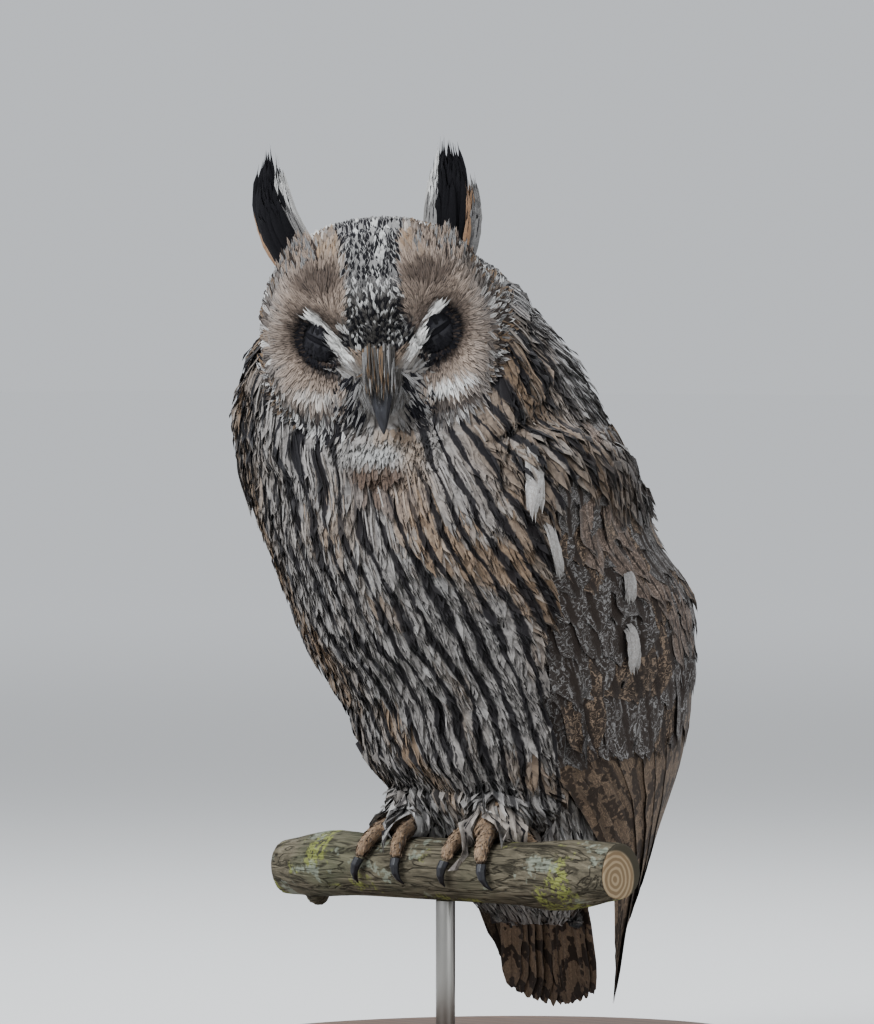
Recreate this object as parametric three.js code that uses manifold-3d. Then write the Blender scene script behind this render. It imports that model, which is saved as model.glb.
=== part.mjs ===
// A life-size long-eared owl at rest on a cut length of branch, held over an oval base by one rod.
// Millimetres, +Z up. The body faces -Y and the head is turned to the bird's own left, towards +X.
// The origin is the centre of the base's underside.
import * as THREE from "three";
import { mergeVertices } from "three/addons/utils/BufferGeometryUtils.js";
import Module from "manifold-3d";

const wasm = await Module();
wasm.setup();

// Sizes that drive the rest.
const GAP = 0.3; // between two pieces that touch
const RAD = Math.PI / 180;

// The base, the rod and the branch.
const BASE = { halfX: 105, halfY: 122, thick: 16, bevel: 2.5 };
const ROD_RADIUS = 4;
const PERCH = { radius: 13, halfLength: 94, y: -23, top: 100, swell: 2.2, stubLength: 24, stubRadius: 5.5 };
const PERCH_Z = PERCH.top - PERCH.radius;

// The head, in its own axes: it faces -Y and its centre is its origin.
const HEAD = { y: -60, z: 311, yaw: 39 * RAD, pitch: 8 * RAD, roll: 5 * RAD };
const SKULL = { halfWidth: 48.5, up: 47, down: 48, back: 45, front: 40, rim: 17 };
const DISC = { x: 22, z: -2, radius: 25, depth: 7, rimRise: 2.6 };
const EYE = { x: 21.5, y: -23.5, z: 1, radius: 9.5, slit: 2.2, slant: 14 * RAD };
const LID_THICK = 1.3;
const BROW = { rise: 3.4, innerX: 7, innerZ: -10, outerX: 26, outerZ: 15, width: 4 };
const BILL = { topZ: -9, rootY: -37, length: 27, halfWidth: 6.5, drop: 0.9 };
const TUFT = { x: 29, y: 0, z: 33, length: 47, lean: 5, feathers: 7, spread: 9.5, width: 5.2, thick: 0.9 };

// Sections of the whole body, from inside the head to the undertail: the middle of each, its half width
// and half depth, and how far it is turned with the head.
const BODY = [
  { z: 346, x: 0, y: -52, half: 24, deep: 22, turn: 38 }, // inside the head
  { z: 333, x: -1, y: -49, half: 42, deep: 34, turn: 38 },
  { z: 320, x: -2, y: -45, half: 51, deep: 40, turn: 38 }, // nape
  { z: 306, x: -4, y: -39, half: 62, deep: 42, turn: 38 },
  { z: 292, x: -3.5, y: -38, half: 70, deep: 45, turn: 37 },
  { z: 277, x: -3, y: -37, half: 77, deep: 47, turn: 34 }, // collar under the face
  { z: 261, x: -1, y: -33, half: 79, deep: 57, turn: 28 }, // shoulders
  { z: 244, x: 0, y: -27, half: 79, deep: 67, turn: 19 },
  { z: 222, x: 0, y: -16, half: 74, deep: 77, turn: 8 },
  { z: 199, x: 0, y: 1, half: 71, deep: 83, turn: 0 }, // breast, where the body is fullest
  { z: 176, x: 0, y: 10, half: 68, deep: 77, turn: 0 },
  { z: 158, x: 0, y: 19, half: 64, deep: 70, turn: 0 }, // belly and rump
  { z: 130, x: 0, y: 22, half: 56, deep: 60, turn: 0 },
  { z: 112, x: 0, y: 27, half: 48, deep: 45, turn: 0 }, // vent
  { z: 96, x: 0, y: 31, half: 43, deep: 37, turn: 0 },
  { z: 76, x: 0, y: 27, half: 33, deep: 22, turn: 0 },
  { z: 58, x: 0, y: 34, half: 15, deep: 9, turn: 0 }, // tips of the undertail coverts
];
const BODY_SECTION = 2.3; // exponent of the section: 2 is an ellipse
const NECK_CUT = { y: -40, z: 272, tilt: 12 * RAD };
const TAIL_CUT = { y: 30, z: 106, tilt: 27 * RAD };

// The outer face of the folded wings: the body grown by the wing's depth, then the reach of the flight feathers.
const WING_DEPTH = 5.6;
const WING_FACE = [
  ...BODY.filter((s) => s.z <= 292 && s.z >= 158).map((s) => ({
    ...s,
    half: s.half + WING_DEPTH,
    deep: s.deep + WING_DEPTH,
  })),
  { z: 130, x: 0, y: 24, half: 64, deep: 66, turn: 0 },
  { z: 97, x: 0, y: 38, half: 50.5, deep: 40, turn: 0 },
  { z: 60, x: 0, y: 41, half: 39, deep: 23, turn: 0 },
  { z: 28, x: 0, y: 47, half: 29, deep: 16, turn: 0 },
];
// Angles round the body, from the breast bone at 0 to the spine at 180, of the wing's two edges. They don't turn
// with the neck, so both wings lie alike.
const WING_EDGES = [
  { z: 268, lead: 80, spine: 106 },
  { z: 254, lead: 71, spine: 130 },
  { z: 240, lead: 64, spine: 150 },
  { z: 220, lead: 57, spine: 167 },
  { z: 199, lead: 48, spine: 174 },
  { z: 158, lead: 46, spine: 176.5 },
  { z: 130, lead: 58, spine: 176.5 },
  { z: 97, lead: 74, spine: 176 },
  { z: 60, lead: 96, spine: 174 },
  { z: 28, lead: 104, spine: 168 },
];
const WING_CORE = { top: 266, bottom: 128, outer: 2.6, inner: WING_DEPTH + 3, rows: 8, columns: 6 };
// Tiers of the folded wing from the lowest layer up. Shares run across the wing from its leading edge, at 0,
// to the spine, at 1. Roots and tips are heights. A stacked tier gives each vane its own layer.
const WING_TIERS = [
  { name: "primaries", count: 5, from: 0.05, to: 0.33, root: 150, tips: [44, 30, 34, 42, 54], tipDepth: 1.9 },
  { name: "secondaries", count: 6, from: 0.38, to: 0.94, root: 166, tips: [64, 70, 77, 86, 96, 108], tipDepth: 1.4 },
  { name: "greater coverts", count: 6, from: 0.08, to: 0.93, root: 196, tips: [132, 138], tipDepth: 1.1 },
  { name: "median coverts", count: 6, from: 0.08, to: 0.93, root: 226, tips: [172, 176], tipDepth: 0.9 },
  { name: "lesser coverts", count: 4, from: 0.1, to: 0.52, root: 254, tips: [208, 204], tipDepth: 0.7 },
  { name: "scapulars", count: 4, from: 0.6, to: 0.96, root: 256, tips: [200, 188], tipDepth: 0.45 },
];
const VANE = { thick: 0.8, tile: 0.36, overlap: 0.62, rootDepth: 3.2, scatter: 3 };

// The tail, whose root is in the undertail and whose tips are the lowest part of the bird.
const TAIL = { rootY: 36, rootZ: 118, tipY: 46, tipZ: 27, feathers: 12, rootSpread: 16, tipSpread: 25, layer: 0.5 };

// Legs and feet.
const LEG = { x: 24, topY: -6, topZ: 126, topRadius: 15, ankleRadius: 8 };
const TOES = [
  { name: "1", x: -6.5, splay: -4, sweep: -72, start: -8 }, // forward, inner
  { name: "2", x: 5, splay: 6, sweep: -74, start: -8 }, // forward, outer
  { name: "3", x: 8, splay: 7, sweep: 56, start: 8 }, // outer toe turned back
  { name: "4", x: -5, splay: -4, sweep: 54, start: 8 }, // hind toe
];
const TOE_RADIUS = 3.9;
const CLAW = { radius: 2.3, sweep: 44 };

// Tools for solids.
function asSolid(geometry, snap = 1e-4) {
  const bare = geometry.clone();
  bare.deleteAttribute("normal");
  bare.deleteAttribute("uv");
  const merged = mergeVertices(bare, snap);
  const triVerts = new Uint32Array(merged.index.array);
  const make = () =>
    new wasm.Manifold(new wasm.Mesh({ numProp: 3, vertProperties: merged.attributes.position.array, triVerts }));
  const made = make();
  if (made.volume() >= 0) return made;
  for (let i = 0; i < triVerts.length; i += 3) [triVerts[i + 1], triVerts[i + 2]] = [triVerts[i + 2], triVerts[i + 1]];
  return make();
}

function asGeometry(solid) {
  const mesh = solid.getMesh();
  const places = new Float32Array(mesh.numVert * 3);
  for (let i = 0; i < mesh.numVert; i++)
    places.set(mesh.vertProperties.subarray(i * mesh.numProp, i * mesh.numProp + 3), i * 3);
  const geometry = new THREE.BufferGeometry();
  geometry.setAttribute("position", new THREE.BufferAttribute(places, 3));
  geometry.setIndex(new THREE.BufferAttribute(new Uint32Array(mesh.triVerts), 1));
  geometry.computeVertexNormals();
  return geometry;
}

const joined = (solids) => wasm.Manifold.union(solids);

// The largest closed surface of a solid, without scraps or sealed hollows.
function largest(solid) {
  const mesh = solid.getMesh();
  const [places, faces, step] = [mesh.vertProperties, mesh.triVerts, mesh.numProp];
  const parent = Array.from({ length: mesh.numVert }, (_, i) => i);
  const root = (i) => {
    while (parent[i] !== i) i = parent[i] = parent[parent[i]];
    return i;
  };
  for (let f = 0; f < faces.length; f += 3)
    for (const v of [faces[f + 1], faces[f + 2]]) parent[root(v)] = root(faces[f]);
  const volumes = new Map();
  const corner = (v) => new THREE.Vector3(places[v * step], places[v * step + 1], places[v * step + 2]);
  for (let f = 0; f < faces.length; f += 3) {
    const [a, b, c] = [0, 1, 2].map((k) => corner(faces[f + k]));
    const shell = root(faces[f]);
    volumes.set(shell, (volumes.get(shell) ?? 0) + a.dot(b.cross(c)));
  }
  const best = [...volumes].reduce((kept, one) => (one[1] > kept[1] ? one : kept))[0];
  const triVerts = faces.filter((_, i) => root(faces[i - (i % 3)]) === best);
  return new wasm.Manifold(new wasm.Mesh({ numProp: step, vertProperties: places, triVerts }));
}

// A solid whose corners lie on a fine grid, with those that fall together made one.
function settled(solid) {
  const onGrid = (v) => Math.round(v * 250) / 250;
  let kept = largest(solid).simplify(0.03);
  for (let pass = 0; pass < 2; pass++) {
    const geometry = asGeometry(kept);
    geometry.attributes.position.array.forEach((v, i, all) => (all[i] = onGrid(v)));
    kept = largest(asSolid(geometry, 1e-3));
  }
  return kept;
}

// A closed surface through rings of equal count. The first and last rings are closed by a fan to their middle.
function loft(rings) {
  const count = rings[0].length;
  const places = rings.flat().flatMap((p) => [p.x, p.y, p.z]);
  const faces = [];
  for (let r = 0; r + 1 < rings.length; r++)
    for (let i = 0; i < count; i++) {
      const [a, b] = [r * count + i, r * count + ((i + 1) % count)];
      faces.push(a, b, b + count, a, b + count, a + count);
    }
  for (const r of [0, rings.length - 1]) {
    const middle = rings[r].reduce((sum, p) => sum.add(p), new THREE.Vector3()).divideScalar(count);
    const m = places.push(middle.x, middle.y, middle.z) / 3 - 1;
    for (let i = 0; i < count; i++) {
      const [a, b] = [r * count + i, r * count + ((i + 1) % count)];
      faces.push(...(r === 0 ? [m, b, a] : [m, a, b]));
    }
  }
  const geometry = new THREE.BufferGeometry();
  geometry.setAttribute("position", new THREE.BufferAttribute(new Float32Array(places), 3));
  geometry.setIndex(faces);
  return asSolid(geometry);
}

// The value of one column of a table at height z, on a smooth curve through the table's rows.
function along(table, key, z) {
  const rows = table;
  const last = rows.length - 1;
  let i = 0;
  while (i < last - 1 && z < rows[i + 1].z) i++;
  const slope = (a, b) => (rows[b][key] - rows[a][key]) / (rows[b].z - rows[a].z);
  const tangent = (k) => (k === 0 ? slope(0, 1) : k === last ? slope(last - 1, last) : slope(k - 1, k + 1));
  const [p, q] = [rows[i], rows[i + 1]];
  const span = q.z - p.z;
  const s = Math.min(1, Math.max(0, (z - p.z) / span));
  const [s2, s3] = [s * s, s * s * s];
  return (
    (2 * s3 - 3 * s2 + 1) * p[key] +
    (s3 - 2 * s2 + s) * span * tangent(i) +
    (3 * s2 - 2 * s3) * q[key] +
    (s3 - s2) * span * tangent(i + 1)
  );
}

// The point at height z and an angle round the body, on a table's surface moved outwards by grow.
// The angle is 0 at the breast bone, and positive on the bird's left, +X.
function onSurface(table, z, angle, grow) {
  const power = 2 / BODY_SECTION;
  const bend = (v) => Math.sign(v) * Math.abs(v) ** power;
  const x = (along(table, "half", z) + grow) * bend(Math.sin(angle));
  const y = -(along(table, "deep", z) + grow) * bend(Math.cos(angle));
  const turn = along(table, "turn", z) * RAD;
  return new THREE.Vector3(
    along(table, "x", z) + x * Math.cos(turn) - y * Math.sin(turn),
    along(table, "y", z) + x * Math.sin(turn) + y * Math.cos(turn),
    z,
  );
}

// The whole body as one solid, from inside the head to the undertail.
function wholeBody(grow) {
  const [points, steps] = [32, 24];
  const [top, bottom] = [BODY[0].z, BODY[BODY.length - 1].z];
  const rings = [];
  for (let r = 0; r <= steps; r++) {
    const z = top + ((bottom - top) * r) / steps;
    const atEnd = r === 0 ? grow : r === steps ? -grow : 0;
    rings.push(
      Array.from({ length: points }, (_, i) => {
        const p = onSurface(BODY, z, (i / points) * 2 * Math.PI, grow);
        return p.setZ(z + atEnd);
      }),
    );
  }
  return loft(rings);
}

// Keeps the part of a solid above or below a plane that tilts with the back.
function cutAt(solid, cut, above) {
  const sign = above ? 1 : -1;
  const normal = [0, -Math.sin(cut.tilt) * sign, Math.cos(cut.tilt) * sign];
  const offset = normal[1] * cut.y + normal[2] * cut.z + GAP / 2;
  return solid.trimByPlane(normal, offset);
}

// The head.
const headPlace = new THREE.Matrix4()
  .makeTranslation(0, HEAD.y, HEAD.z)
  .multiply(new THREE.Matrix4().makeRotationZ(HEAD.yaw))
  .multiply(new THREE.Matrix4().makeRotationX(HEAD.pitch))
  .multiply(new THREE.Matrix4().makeRotationY(-HEAD.roll));
const toWorld = (solid) => solid.transform(headPlace.elements);

const bump = (distance, width) => Math.exp(-((distance / width) ** 2));

// How far the face stands forward of the skull's middle, at a share of the way out to the rim of the disc.
function faceForward(x, z, out) {
  let forward = SKULL.rim + (SKULL.front - SKULL.rim) * Math.sqrt(Math.max(0, 1 - out * out));
  const fromDisc = Math.hypot(Math.abs(x) - DISC.x, z - DISC.z) / DISC.radius;
  if (fromDisc < 1) forward -= DISC.depth * (1 - fromDisc ** 2) ** 1.5;
  forward += DISC.rimRise * bump(out - 0.9, 0.09) * (z < SKULL.up * 0.72 ? 1 : 0.4);
  const [bx, bz] = [BROW.outerX - BROW.innerX, BROW.outerZ - BROW.innerZ];
  const s = Math.min(1, Math.max(0, ((Math.abs(x) - BROW.innerX) * bx + (z - BROW.innerZ) * bz) / (bx * bx + bz * bz)));
  const fromBrow = Math.hypot(Math.abs(x) - BROW.innerX - s * bx, z - BROW.innerZ - s * bz);
  forward += BROW.rise * (1 - 0.55 * s) * bump(fromBrow, BROW.width);
  return forward;
}

function skull(grow, points = 38, faceRings = 11, backRings = 6) {
  // The outline of the disc seen from the front: broad, with shoulders under the ear tufts.
  const outline = (angle) => {
    const [c, s] = [Math.cos(angle), Math.sin(angle)];
    const power = 2.25;
    const up = c > 0 ? SKULL.up : SKULL.down;
    const reach = (Math.abs(s / SKULL.halfWidth) ** power + Math.abs(c / up) ** power) ** (-1 / power);
    return reach + grow;
  };
  const rings = [];
  for (let r = 1; r <= faceRings; r++) {
    const out = (r / faceRings) ** 0.85;
    rings.push(
      Array.from({ length: points }, (_, i) => {
        const angle = (i / points) * 2 * Math.PI;
        const reach = outline(angle) * out;
        const [x, z] = [reach * Math.sin(angle), reach * Math.cos(angle)];
        return new THREE.Vector3(x, -faceForward(x, z, out) - grow, z);
      }),
    );
  }
  for (let r = 1; r <= backRings; r++) {
    const turn = ((r - 0.35) / backRings) * 90 * RAD;
    rings.push(
      Array.from({ length: points }, (_, i) => {
        const angle = (i / points) * 2 * Math.PI;
        const reach = outline(angle) * Math.cos(turn) ** 0.9;
        const from = -SKULL.rim - grow;
        return new THREE.Vector3(
          reach * Math.sin(angle),
          from + (SKULL.back + grow - from) * Math.sin(turn),
          reach * Math.cos(angle),
        );
      }),
    );
  }
  return loft(rings);
}

function ball(radius, x, y, z, across = 16, down = 10) {
  const sphere = new THREE.SphereGeometry(radius, across, down);
  sphere.rotateX(90 * RAD);
  return asSolid(sphere).translate([x, y, z]);
}

// The head with its sockets and, over each eye, two lids that leave a narrow slanting slit.
function headSolid() {
  let made = skull(0);
  for (const side of [-1, 1]) {
    const [x, y, z] = [side * EYE.x, EYE.y, EYE.z];
    const slit = new THREE.BoxGeometry(EYE.radius * 1.75, EYE.radius * 3, EYE.slit);
    slit.rotateY(-side * EYE.slant);
    slit.translate(x, y - EYE.radius * 1.4, z - 1);
    const lids = ball(EYE.radius + GAP + LID_THICK, x, y, z).subtract(ball(EYE.radius + GAP, x, y, z));
    made = made.subtract(ball(EYE.radius + GAP, x, y, z)).add(lids).subtract(asSolid(slit));
  }
  return made;
}

function eyeSolid(side) {
  return ball(EYE.radius, side * EYE.x, EYE.y, EYE.z);
}

// One half of the bill, a hooked cone. The upper half has two nostrils.
function billSolid(upper) {
  const [points, steps] = [10, 8];
  const rings = [];
  const length = upper ? BILL.length : BILL.length * 0.66;
  for (let r = 0; r <= steps; r++) {
    const s = r / steps;
    const size = (1 - s) ** 0.75 + 0.03;
    const bend = s * 82 * RAD;
    const y = BILL.rootY - Math.sin(bend) * length * 0.42;
    const z = BILL.topZ - (upper ? 4 : 10.5) - s * length * BILL.drop;
    const [wide, tall] = upper ? [BILL.halfWidth, 6.2] : [BILL.halfWidth * 0.72, 3.2];
    rings.push(
      Array.from({ length: points }, (_, i) => {
        const angle = (i / points) * 2 * Math.PI;
        const [across, deep] = [wide * size * Math.sin(angle), tall * size * Math.cos(angle)];
        return new THREE.Vector3(across, y + (upper ? -deep : 4 - deep * 0.8), z + deep * 0.25 * (1 - s));
      }),
    );
  }
  let made = loft(rings);
  if (upper)
    for (const side of [-1, 1])
      made = made.subtract(ball(1.3, side * BILL.halfWidth * 0.72, BILL.rootY - 7.6, BILL.topZ - 7.5, 8, 6));
  return made;
}

// A vane between its root and tip. place(s, w, lift) gives a point at a share of the length, w from -1 to 1
// across and lift outwards; thick(s) is its thickness. Both faces are split along the same diagonals.
function vane(place, thick, shares = [0, 0.35, 0.68, 0.88, 1], point = 0.3, widest = 0.6) {
  const widthAt = (s) => {
    const taper = Math.max(0, (s - widest) / (1 - widest));
    return (0.7 + 0.3 * Math.min(1, s / 0.3)) * Math.sqrt(1 - taper ** 2 * (1 - point ** 2));
  };
  return loft(
    shares.map((s) => {
      const [w, t] = [widthAt(s), thick(s)];
      return [place(s, -w, 0), place(s, w, 0), place(s, w, -t), place(s, -w, -t)];
    }),
  );
}

// An ear tuft: long tapered feathers that rise side by side from a small root, the middle ones longest.
function tuftSolid(side) {
  const rootBall = new THREE.SphereGeometry(1, 12, 8);
  rootBall.scale(11, 5, 7);
  rootBall.translate(side * TUFT.x, TUFT.y + 1, TUFT.z + 1);
  const feathers = [asSolid(rootBall)];
  for (let i = 0; i < TUFT.feathers; i++) {
    const across = (2 * i) / (TUFT.feathers - 1) - 1; // -1 at the crown side, 1 at the outer side
    const length = TUFT.length * (1 - 0.34 * across ** 2 - 0.05 * across);
    const place = (s, w, lift) => {
      const off = w * TUFT.width * (1 - 0.15 * Math.abs(across));
      const x = TUFT.x + across * (TUFT.spread - 4.5 * s) + TUFT.lean * (s + 0.5 * s * s) + off;
      const y = TUFT.y + 2.2 - 0.7 * Math.abs(i - 3) - 4 * s * s + 0.16 * off - lift;
      const z = TUFT.z - 2 + length * s - 0.1 * Math.abs(off);
      return new THREE.Vector3(side * x, y, z);
    };
    feathers.push(vane(place, () => TUFT.thick, [0, 0.3, 0.6, 0.85, 1], 0.16, 0.4));
  }
  return joined(feathers);
}

// A point of the folded wing: share 0 is its leading edge and 1 its edge at the spine; depth is inwards.
function onWing(z, share, depth, side) {
  const lead = along(WING_EDGES, "lead", z);
  const spine = along(WING_EDGES, "spine", z);
  const angle = (lead + (spine - lead) * share) * RAD;
  const radius = along(WING_FACE, "half", z) / 2;
  const turn = along(WING_FACE, "turn", z) * RAD;
  return onSurface(WING_FACE, z, side * Math.min(angle, Math.PI - GAP / radius) - turn, -depth);
}

// The shell that the wing's feathers grow from.
function wingCore(side) {
  const { top, bottom, outer, inner, rows, columns } = WING_CORE;
  const rings = [];
  for (let r = 0; r <= rows; r++) {
    const z = top + ((bottom - top) * r) / rows;
    const ring = [];
    for (let c = 0; c <= columns; c++) ring.push(onWing(z, 0.02 + (0.96 * c) / columns, outer, side));
    for (let c = columns; c >= 0; c--) ring.push(onWing(z, 0.02 + (0.96 * c) / columns, inner, side));
    rings.push(ring);
  }
  return loftFlat(rings);
}

// As loft, for thin flat sections: each end is closed by strips between its two faces.
function loftFlat(rings) {
  const count = rings[0].length;
  const places = rings.flat().flatMap((p) => [p.x, p.y, p.z]);
  const faces = [];
  for (let r = 0; r + 1 < rings.length; r++)
    for (let i = 0; i < count; i++) {
      const [a, b] = [r * count + i, r * count + ((i + 1) % count)];
      if (i < count / 2) faces.push(a, b, b + count, a, b + count, a + count);
      else faces.push(a, b, a + count, b, b + count, a + count);
    }
  for (const r of [0, rings.length - 1])
    for (let i = 0; i + 1 < count / 2; i++) {
      const [a, b, c, d] = [i, i + 1, count - 2 - i, count - 1 - i].map((k) => r * count + k);
      faces.push(...(r === 0 ? [a, c, b, a, d, c] : [a, b, c, a, c, d]));
    }
  const geometry = new THREE.BufferGeometry();
  geometry.setAttribute("position", new THREE.BufferAttribute(new Float32Array(places), 3));
  geometry.setIndex(faces);
  return asSolid(geometry);
}

// A steady pseudo-random number from 0 to 1 for a whole number.
const steady = (n) => {
  const v = Math.sin(n * 12.9898 + 4.1414) * 43758.5453;
  return v - Math.floor(v);
};

// The wing's vanes. Their inner faces are sunk in the core, and thin out below it towards the tips.
function wingVanes(side) {
  const vanes = [];
  WING_TIERS.forEach((tier, t) => {
    for (let i = 0; i < tier.count; i++) {
      const s0 = i / (tier.count - 1);
      const share = tier.from + (tier.to - tier.from) * s0;
      const spot = s0 * (tier.tips.length - 1);
      const low = Math.min(Math.floor(spot), tier.tips.length - 2);
      const level = tier.tips[low] + (tier.tips[low + 1] - tier.tips[low]) * (spot - low);
      const tip = level + VANE.scatter * (steady(t * 31 + i) - 0.5);
      const half = VANE.overlap * ((tier.to - tier.from) / (tier.count - 1));
      const depth = (s) => VANE.rootDepth + (tier.tipDepth - VANE.rootDepth) * s ** 0.8;
      const place = (s, w, lift) => {
        const z = tier.root + (tip - tier.root) * s;
        return onWing(z, share + half * w, depth(s) + VANE.tile * w - lift, side);
      };
      const flight = tip < WING_CORE.bottom - 12;
      const sunk = (s) => WING_CORE.outer + 1.5 - depth(s);
      const above = (s) => Math.min(1, Math.max(0, (tier.root + (tip - tier.root) * s - tip) / (WING_CORE.bottom - tip)));
      const thick = (s) => (flight ? VANE.thick + (sunk(s) - VANE.thick) * above(s) ** 2 : sunk(s));
      vanes.push(vane(place, thick, flight ? undefined : [0, 0.55, 0.84, 1]));
    }
  });
  return vanes;
}

function wingSolid(side, bodyGrown) {
  const whole = joined([wingCore(side), ...wingVanes(side)]);
  return whole.simplify(0.04).subtract(bodyGrown);
}

// The tail's twelve feathers, folded: the middle pair lies on top, at the back.
function tailVanes() {
  const vanes = [];
  const axis = new THREE.Vector3(0, TAIL.tipY - TAIL.rootY, TAIL.tipZ - TAIL.rootZ);
  const outward = new THREE.Vector3(0, -axis.z, axis.y).normalize(); // towards the bird's back
  for (let i = 0; i < TAIL.feathers; i++) {
    const across = (2 * i + 1) / TAIL.feathers - 1;
    const reach = 1 - 0.08 * across ** 2;
    const place = (s, w, lift) => {
      const spread = TAIL.rootSpread + (TAIL.tipSpread - TAIL.rootSpread) * s;
      const p = new THREE.Vector3(0, TAIL.rootY, TAIL.rootZ).addScaledVector(axis, s * reach);
      p.x = spread * (across + (w * VANE.overlap * 2) / TAIL.feathers);
      const layer = -TAIL.layer * Math.abs(i - (TAIL.feathers - 1) / 2);
      return p.addScaledVector(outward, layer + lift);
    };
    vanes.push(vane(place, () => VANE.thick, undefined, 0.4));
  }
  return vanes;
}

// A tapered tube of round sections through places with radii.
function tube(stops, points = 8) {
  const rings = stops.map(({ at, ahead, radius, flat = 1 }) => {
    const across = new THREE.Vector3(1, 0, 0).addScaledVector(ahead, -ahead.x).normalize();
    const out = new THREE.Vector3().crossVectors(ahead, across);
    return Array.from({ length: points }, (_, i) => {
      const angle = (i / points) * 2 * Math.PI;
      return at
        .clone()
        .addScaledVector(across, radius * Math.cos(angle))
        .addScaledVector(out, radius * flat * Math.sin(angle));
    });
  });
  return loft(rings);
}

// A place beside the branch: angle 0 is its top, negative is towards the front.
function roundPerch(angle, distance, x) {
  return new THREE.Vector3(x, PERCH.y + distance * Math.sin(angle), PERCH_Z + distance * Math.cos(angle));
}

function toeStops(toe, side, from, to, radii, distances) {
  const count = radii.length;
  return radii.map((radius, k) => {
    const s = k / (count - 1);
    const angle = (from + (to - from) * s) * RAD;
    const spread = (angle / RAD - toe.start) / toe.sweep;
    const x = side * (LEG.x + toe.x + toe.splay * spread);
    const ahead = new THREE.Vector3(
      (side * toe.splay) / 30,
      Math.sign(toe.sweep) * Math.cos(angle),
      -Math.sign(toe.sweep) * Math.sin(angle),
    ).normalize();
    return { at: roundPerch(angle, distances[k], x), ahead, radius };
  });
}

function footSolid(side, perchGrown, bodyGrown, grow = 0) {
  const pad = new THREE.SphereGeometry(1, 12, 8);
  pad.scale(10 + grow, 9 + grow, 6 + grow);
  pad.translate(side * LEG.x, PERCH.y + 1, PERCH.top + 4.2);
  const rest = PERCH.radius + GAP;
  const pieces = TOES.map((toe) => {
    const radii = [1.18, 1.08, 1, 0.92, 0.72].map((share) => share * TOE_RADIUS);
    const distances = radii.map((r) => rest + r * 0.94);
    const thicker = radii.map((r) => r + grow);
    return tube(toeStops(toe, side, toe.start, toe.sweep, thicker, distances));
  });
  return largest(joined([asSolid(pad), ...pieces]).subtract(perchGrown).subtract(bodyGrown));
}

function clawSolid(toe, side, perchGrown) {
  const turn = Math.sign(toe.sweep);
  const from = toe.sweep + turn * 1.6;
  const to = toe.sweep + turn * CLAW.sweep;
  const radii = [CLAW.radius, CLAW.radius * 0.92, CLAW.radius * 0.72, CLAW.radius * 0.46, 0.35];
  const rest = PERCH.radius + GAP;
  const distances = radii.map((r, k) => rest + r + 0.5 + 1.5 * Math.sin((k / 4) * Math.PI));
  return tube(toeStops(toe, side, from, to, radii, distances), 7).subtract(perchGrown);
}

function legSolid(side, bodyGrown, foot) {
  const top = new THREE.Vector3(side * LEG.x, LEG.topY, LEG.topZ);
  const ankle = new THREE.Vector3(side * LEG.x, PERCH.y + 2, PERCH.top + 5);
  const ahead = ankle.clone().sub(top).normalize();
  const stops = [0, 0.25, 0.5, 0.75, 1].map((s) => ({
    at: top.clone().lerp(ankle, s),
    ahead,
    radius: LEG.topRadius + (LEG.ankleRadius - LEG.topRadius) * s ** 0.8,
  }));
  return largest(tube(stops, 14).subtract(bodyGrown).subtract(foot));
}

// The branch: round where the feet grip, with swellings, a slight bend outside them and one cut twig.
function perchRadius(x) {
  const away = Math.max(0, Math.abs(x) - 46);
  return PERCH.radius + PERCH.swell * Math.sin(Math.min(away / 14, Math.PI)) * (x > 0 ? 1 : 0.7) - away * 0.03;
}

function perchSolid(grow) {
  const [points, steps] = [18, 22];
  const rings = [];
  for (let r = 0; r <= steps; r++) {
    const x = -PERCH.halfLength + (2 * PERCH.halfLength * r) / steps;
    const away = Math.max(0, Math.abs(x) - 46);
    const centre = { y: PERCH.y + 0.0018 * away ** 2, z: PERCH_Z + 0.0012 * away ** 2 * Math.sign(x) };
    rings.push(
      Array.from({ length: points }, (_, i) => {
        const angle = (i / points) * 2 * Math.PI;
        const ripple = 1 + Math.min(1, away / 10) * 0.035 * Math.sin(3 * angle + x * 0.09);
        const radius = perchRadius(x) * ripple + grow;
        return new THREE.Vector3(x, centre.y + radius * Math.sin(angle), centre.z + radius * Math.cos(angle));
      }),
    );
  }
  const branch = loft(rings);
  const stub = new THREE.CylinderGeometry(PERCH.stubRadius * 0.86, PERCH.stubRadius * 1.15, PERCH.stubLength, 10);
  stub.translate(0, PERCH.stubLength / 2, 0);
  stub.rotateZ(38 * RAD);
  stub.rotateX(-60 * RAD);
  stub.translate(-64, PERCH.y - 4, PERCH_Z + 1);
  return grow ? branch : branch.add(asSolid(stub));
}

function baseSolid() {
  const points = 44;
  const ring = (inset, z) =>
    Array.from({ length: points }, (_, i) => {
      const angle = (i / points) * 2 * Math.PI;
      return new THREE.Vector3((BASE.halfX - inset) * Math.cos(angle), (BASE.halfY - inset) * Math.sin(angle), z);
    });
  return loft([ring(0.8, 0), ring(0, 0.8), ring(0, BASE.thick - BASE.bevel), ring(BASE.bevel, BASE.thick)]);
}

function rodSolid(perchGrown) {
  const bottom = BASE.thick + GAP;
  const height = PERCH_Z - bottom;
  const rod = new THREE.CylinderGeometry(ROD_RADIUS, ROD_RADIUS, height, 20);
  rod.rotateX(90 * RAD);
  rod.translate(0, PERCH.y, bottom + height / 2);
  return largest(asSolid(rod).subtract(perchGrown));
}

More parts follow.
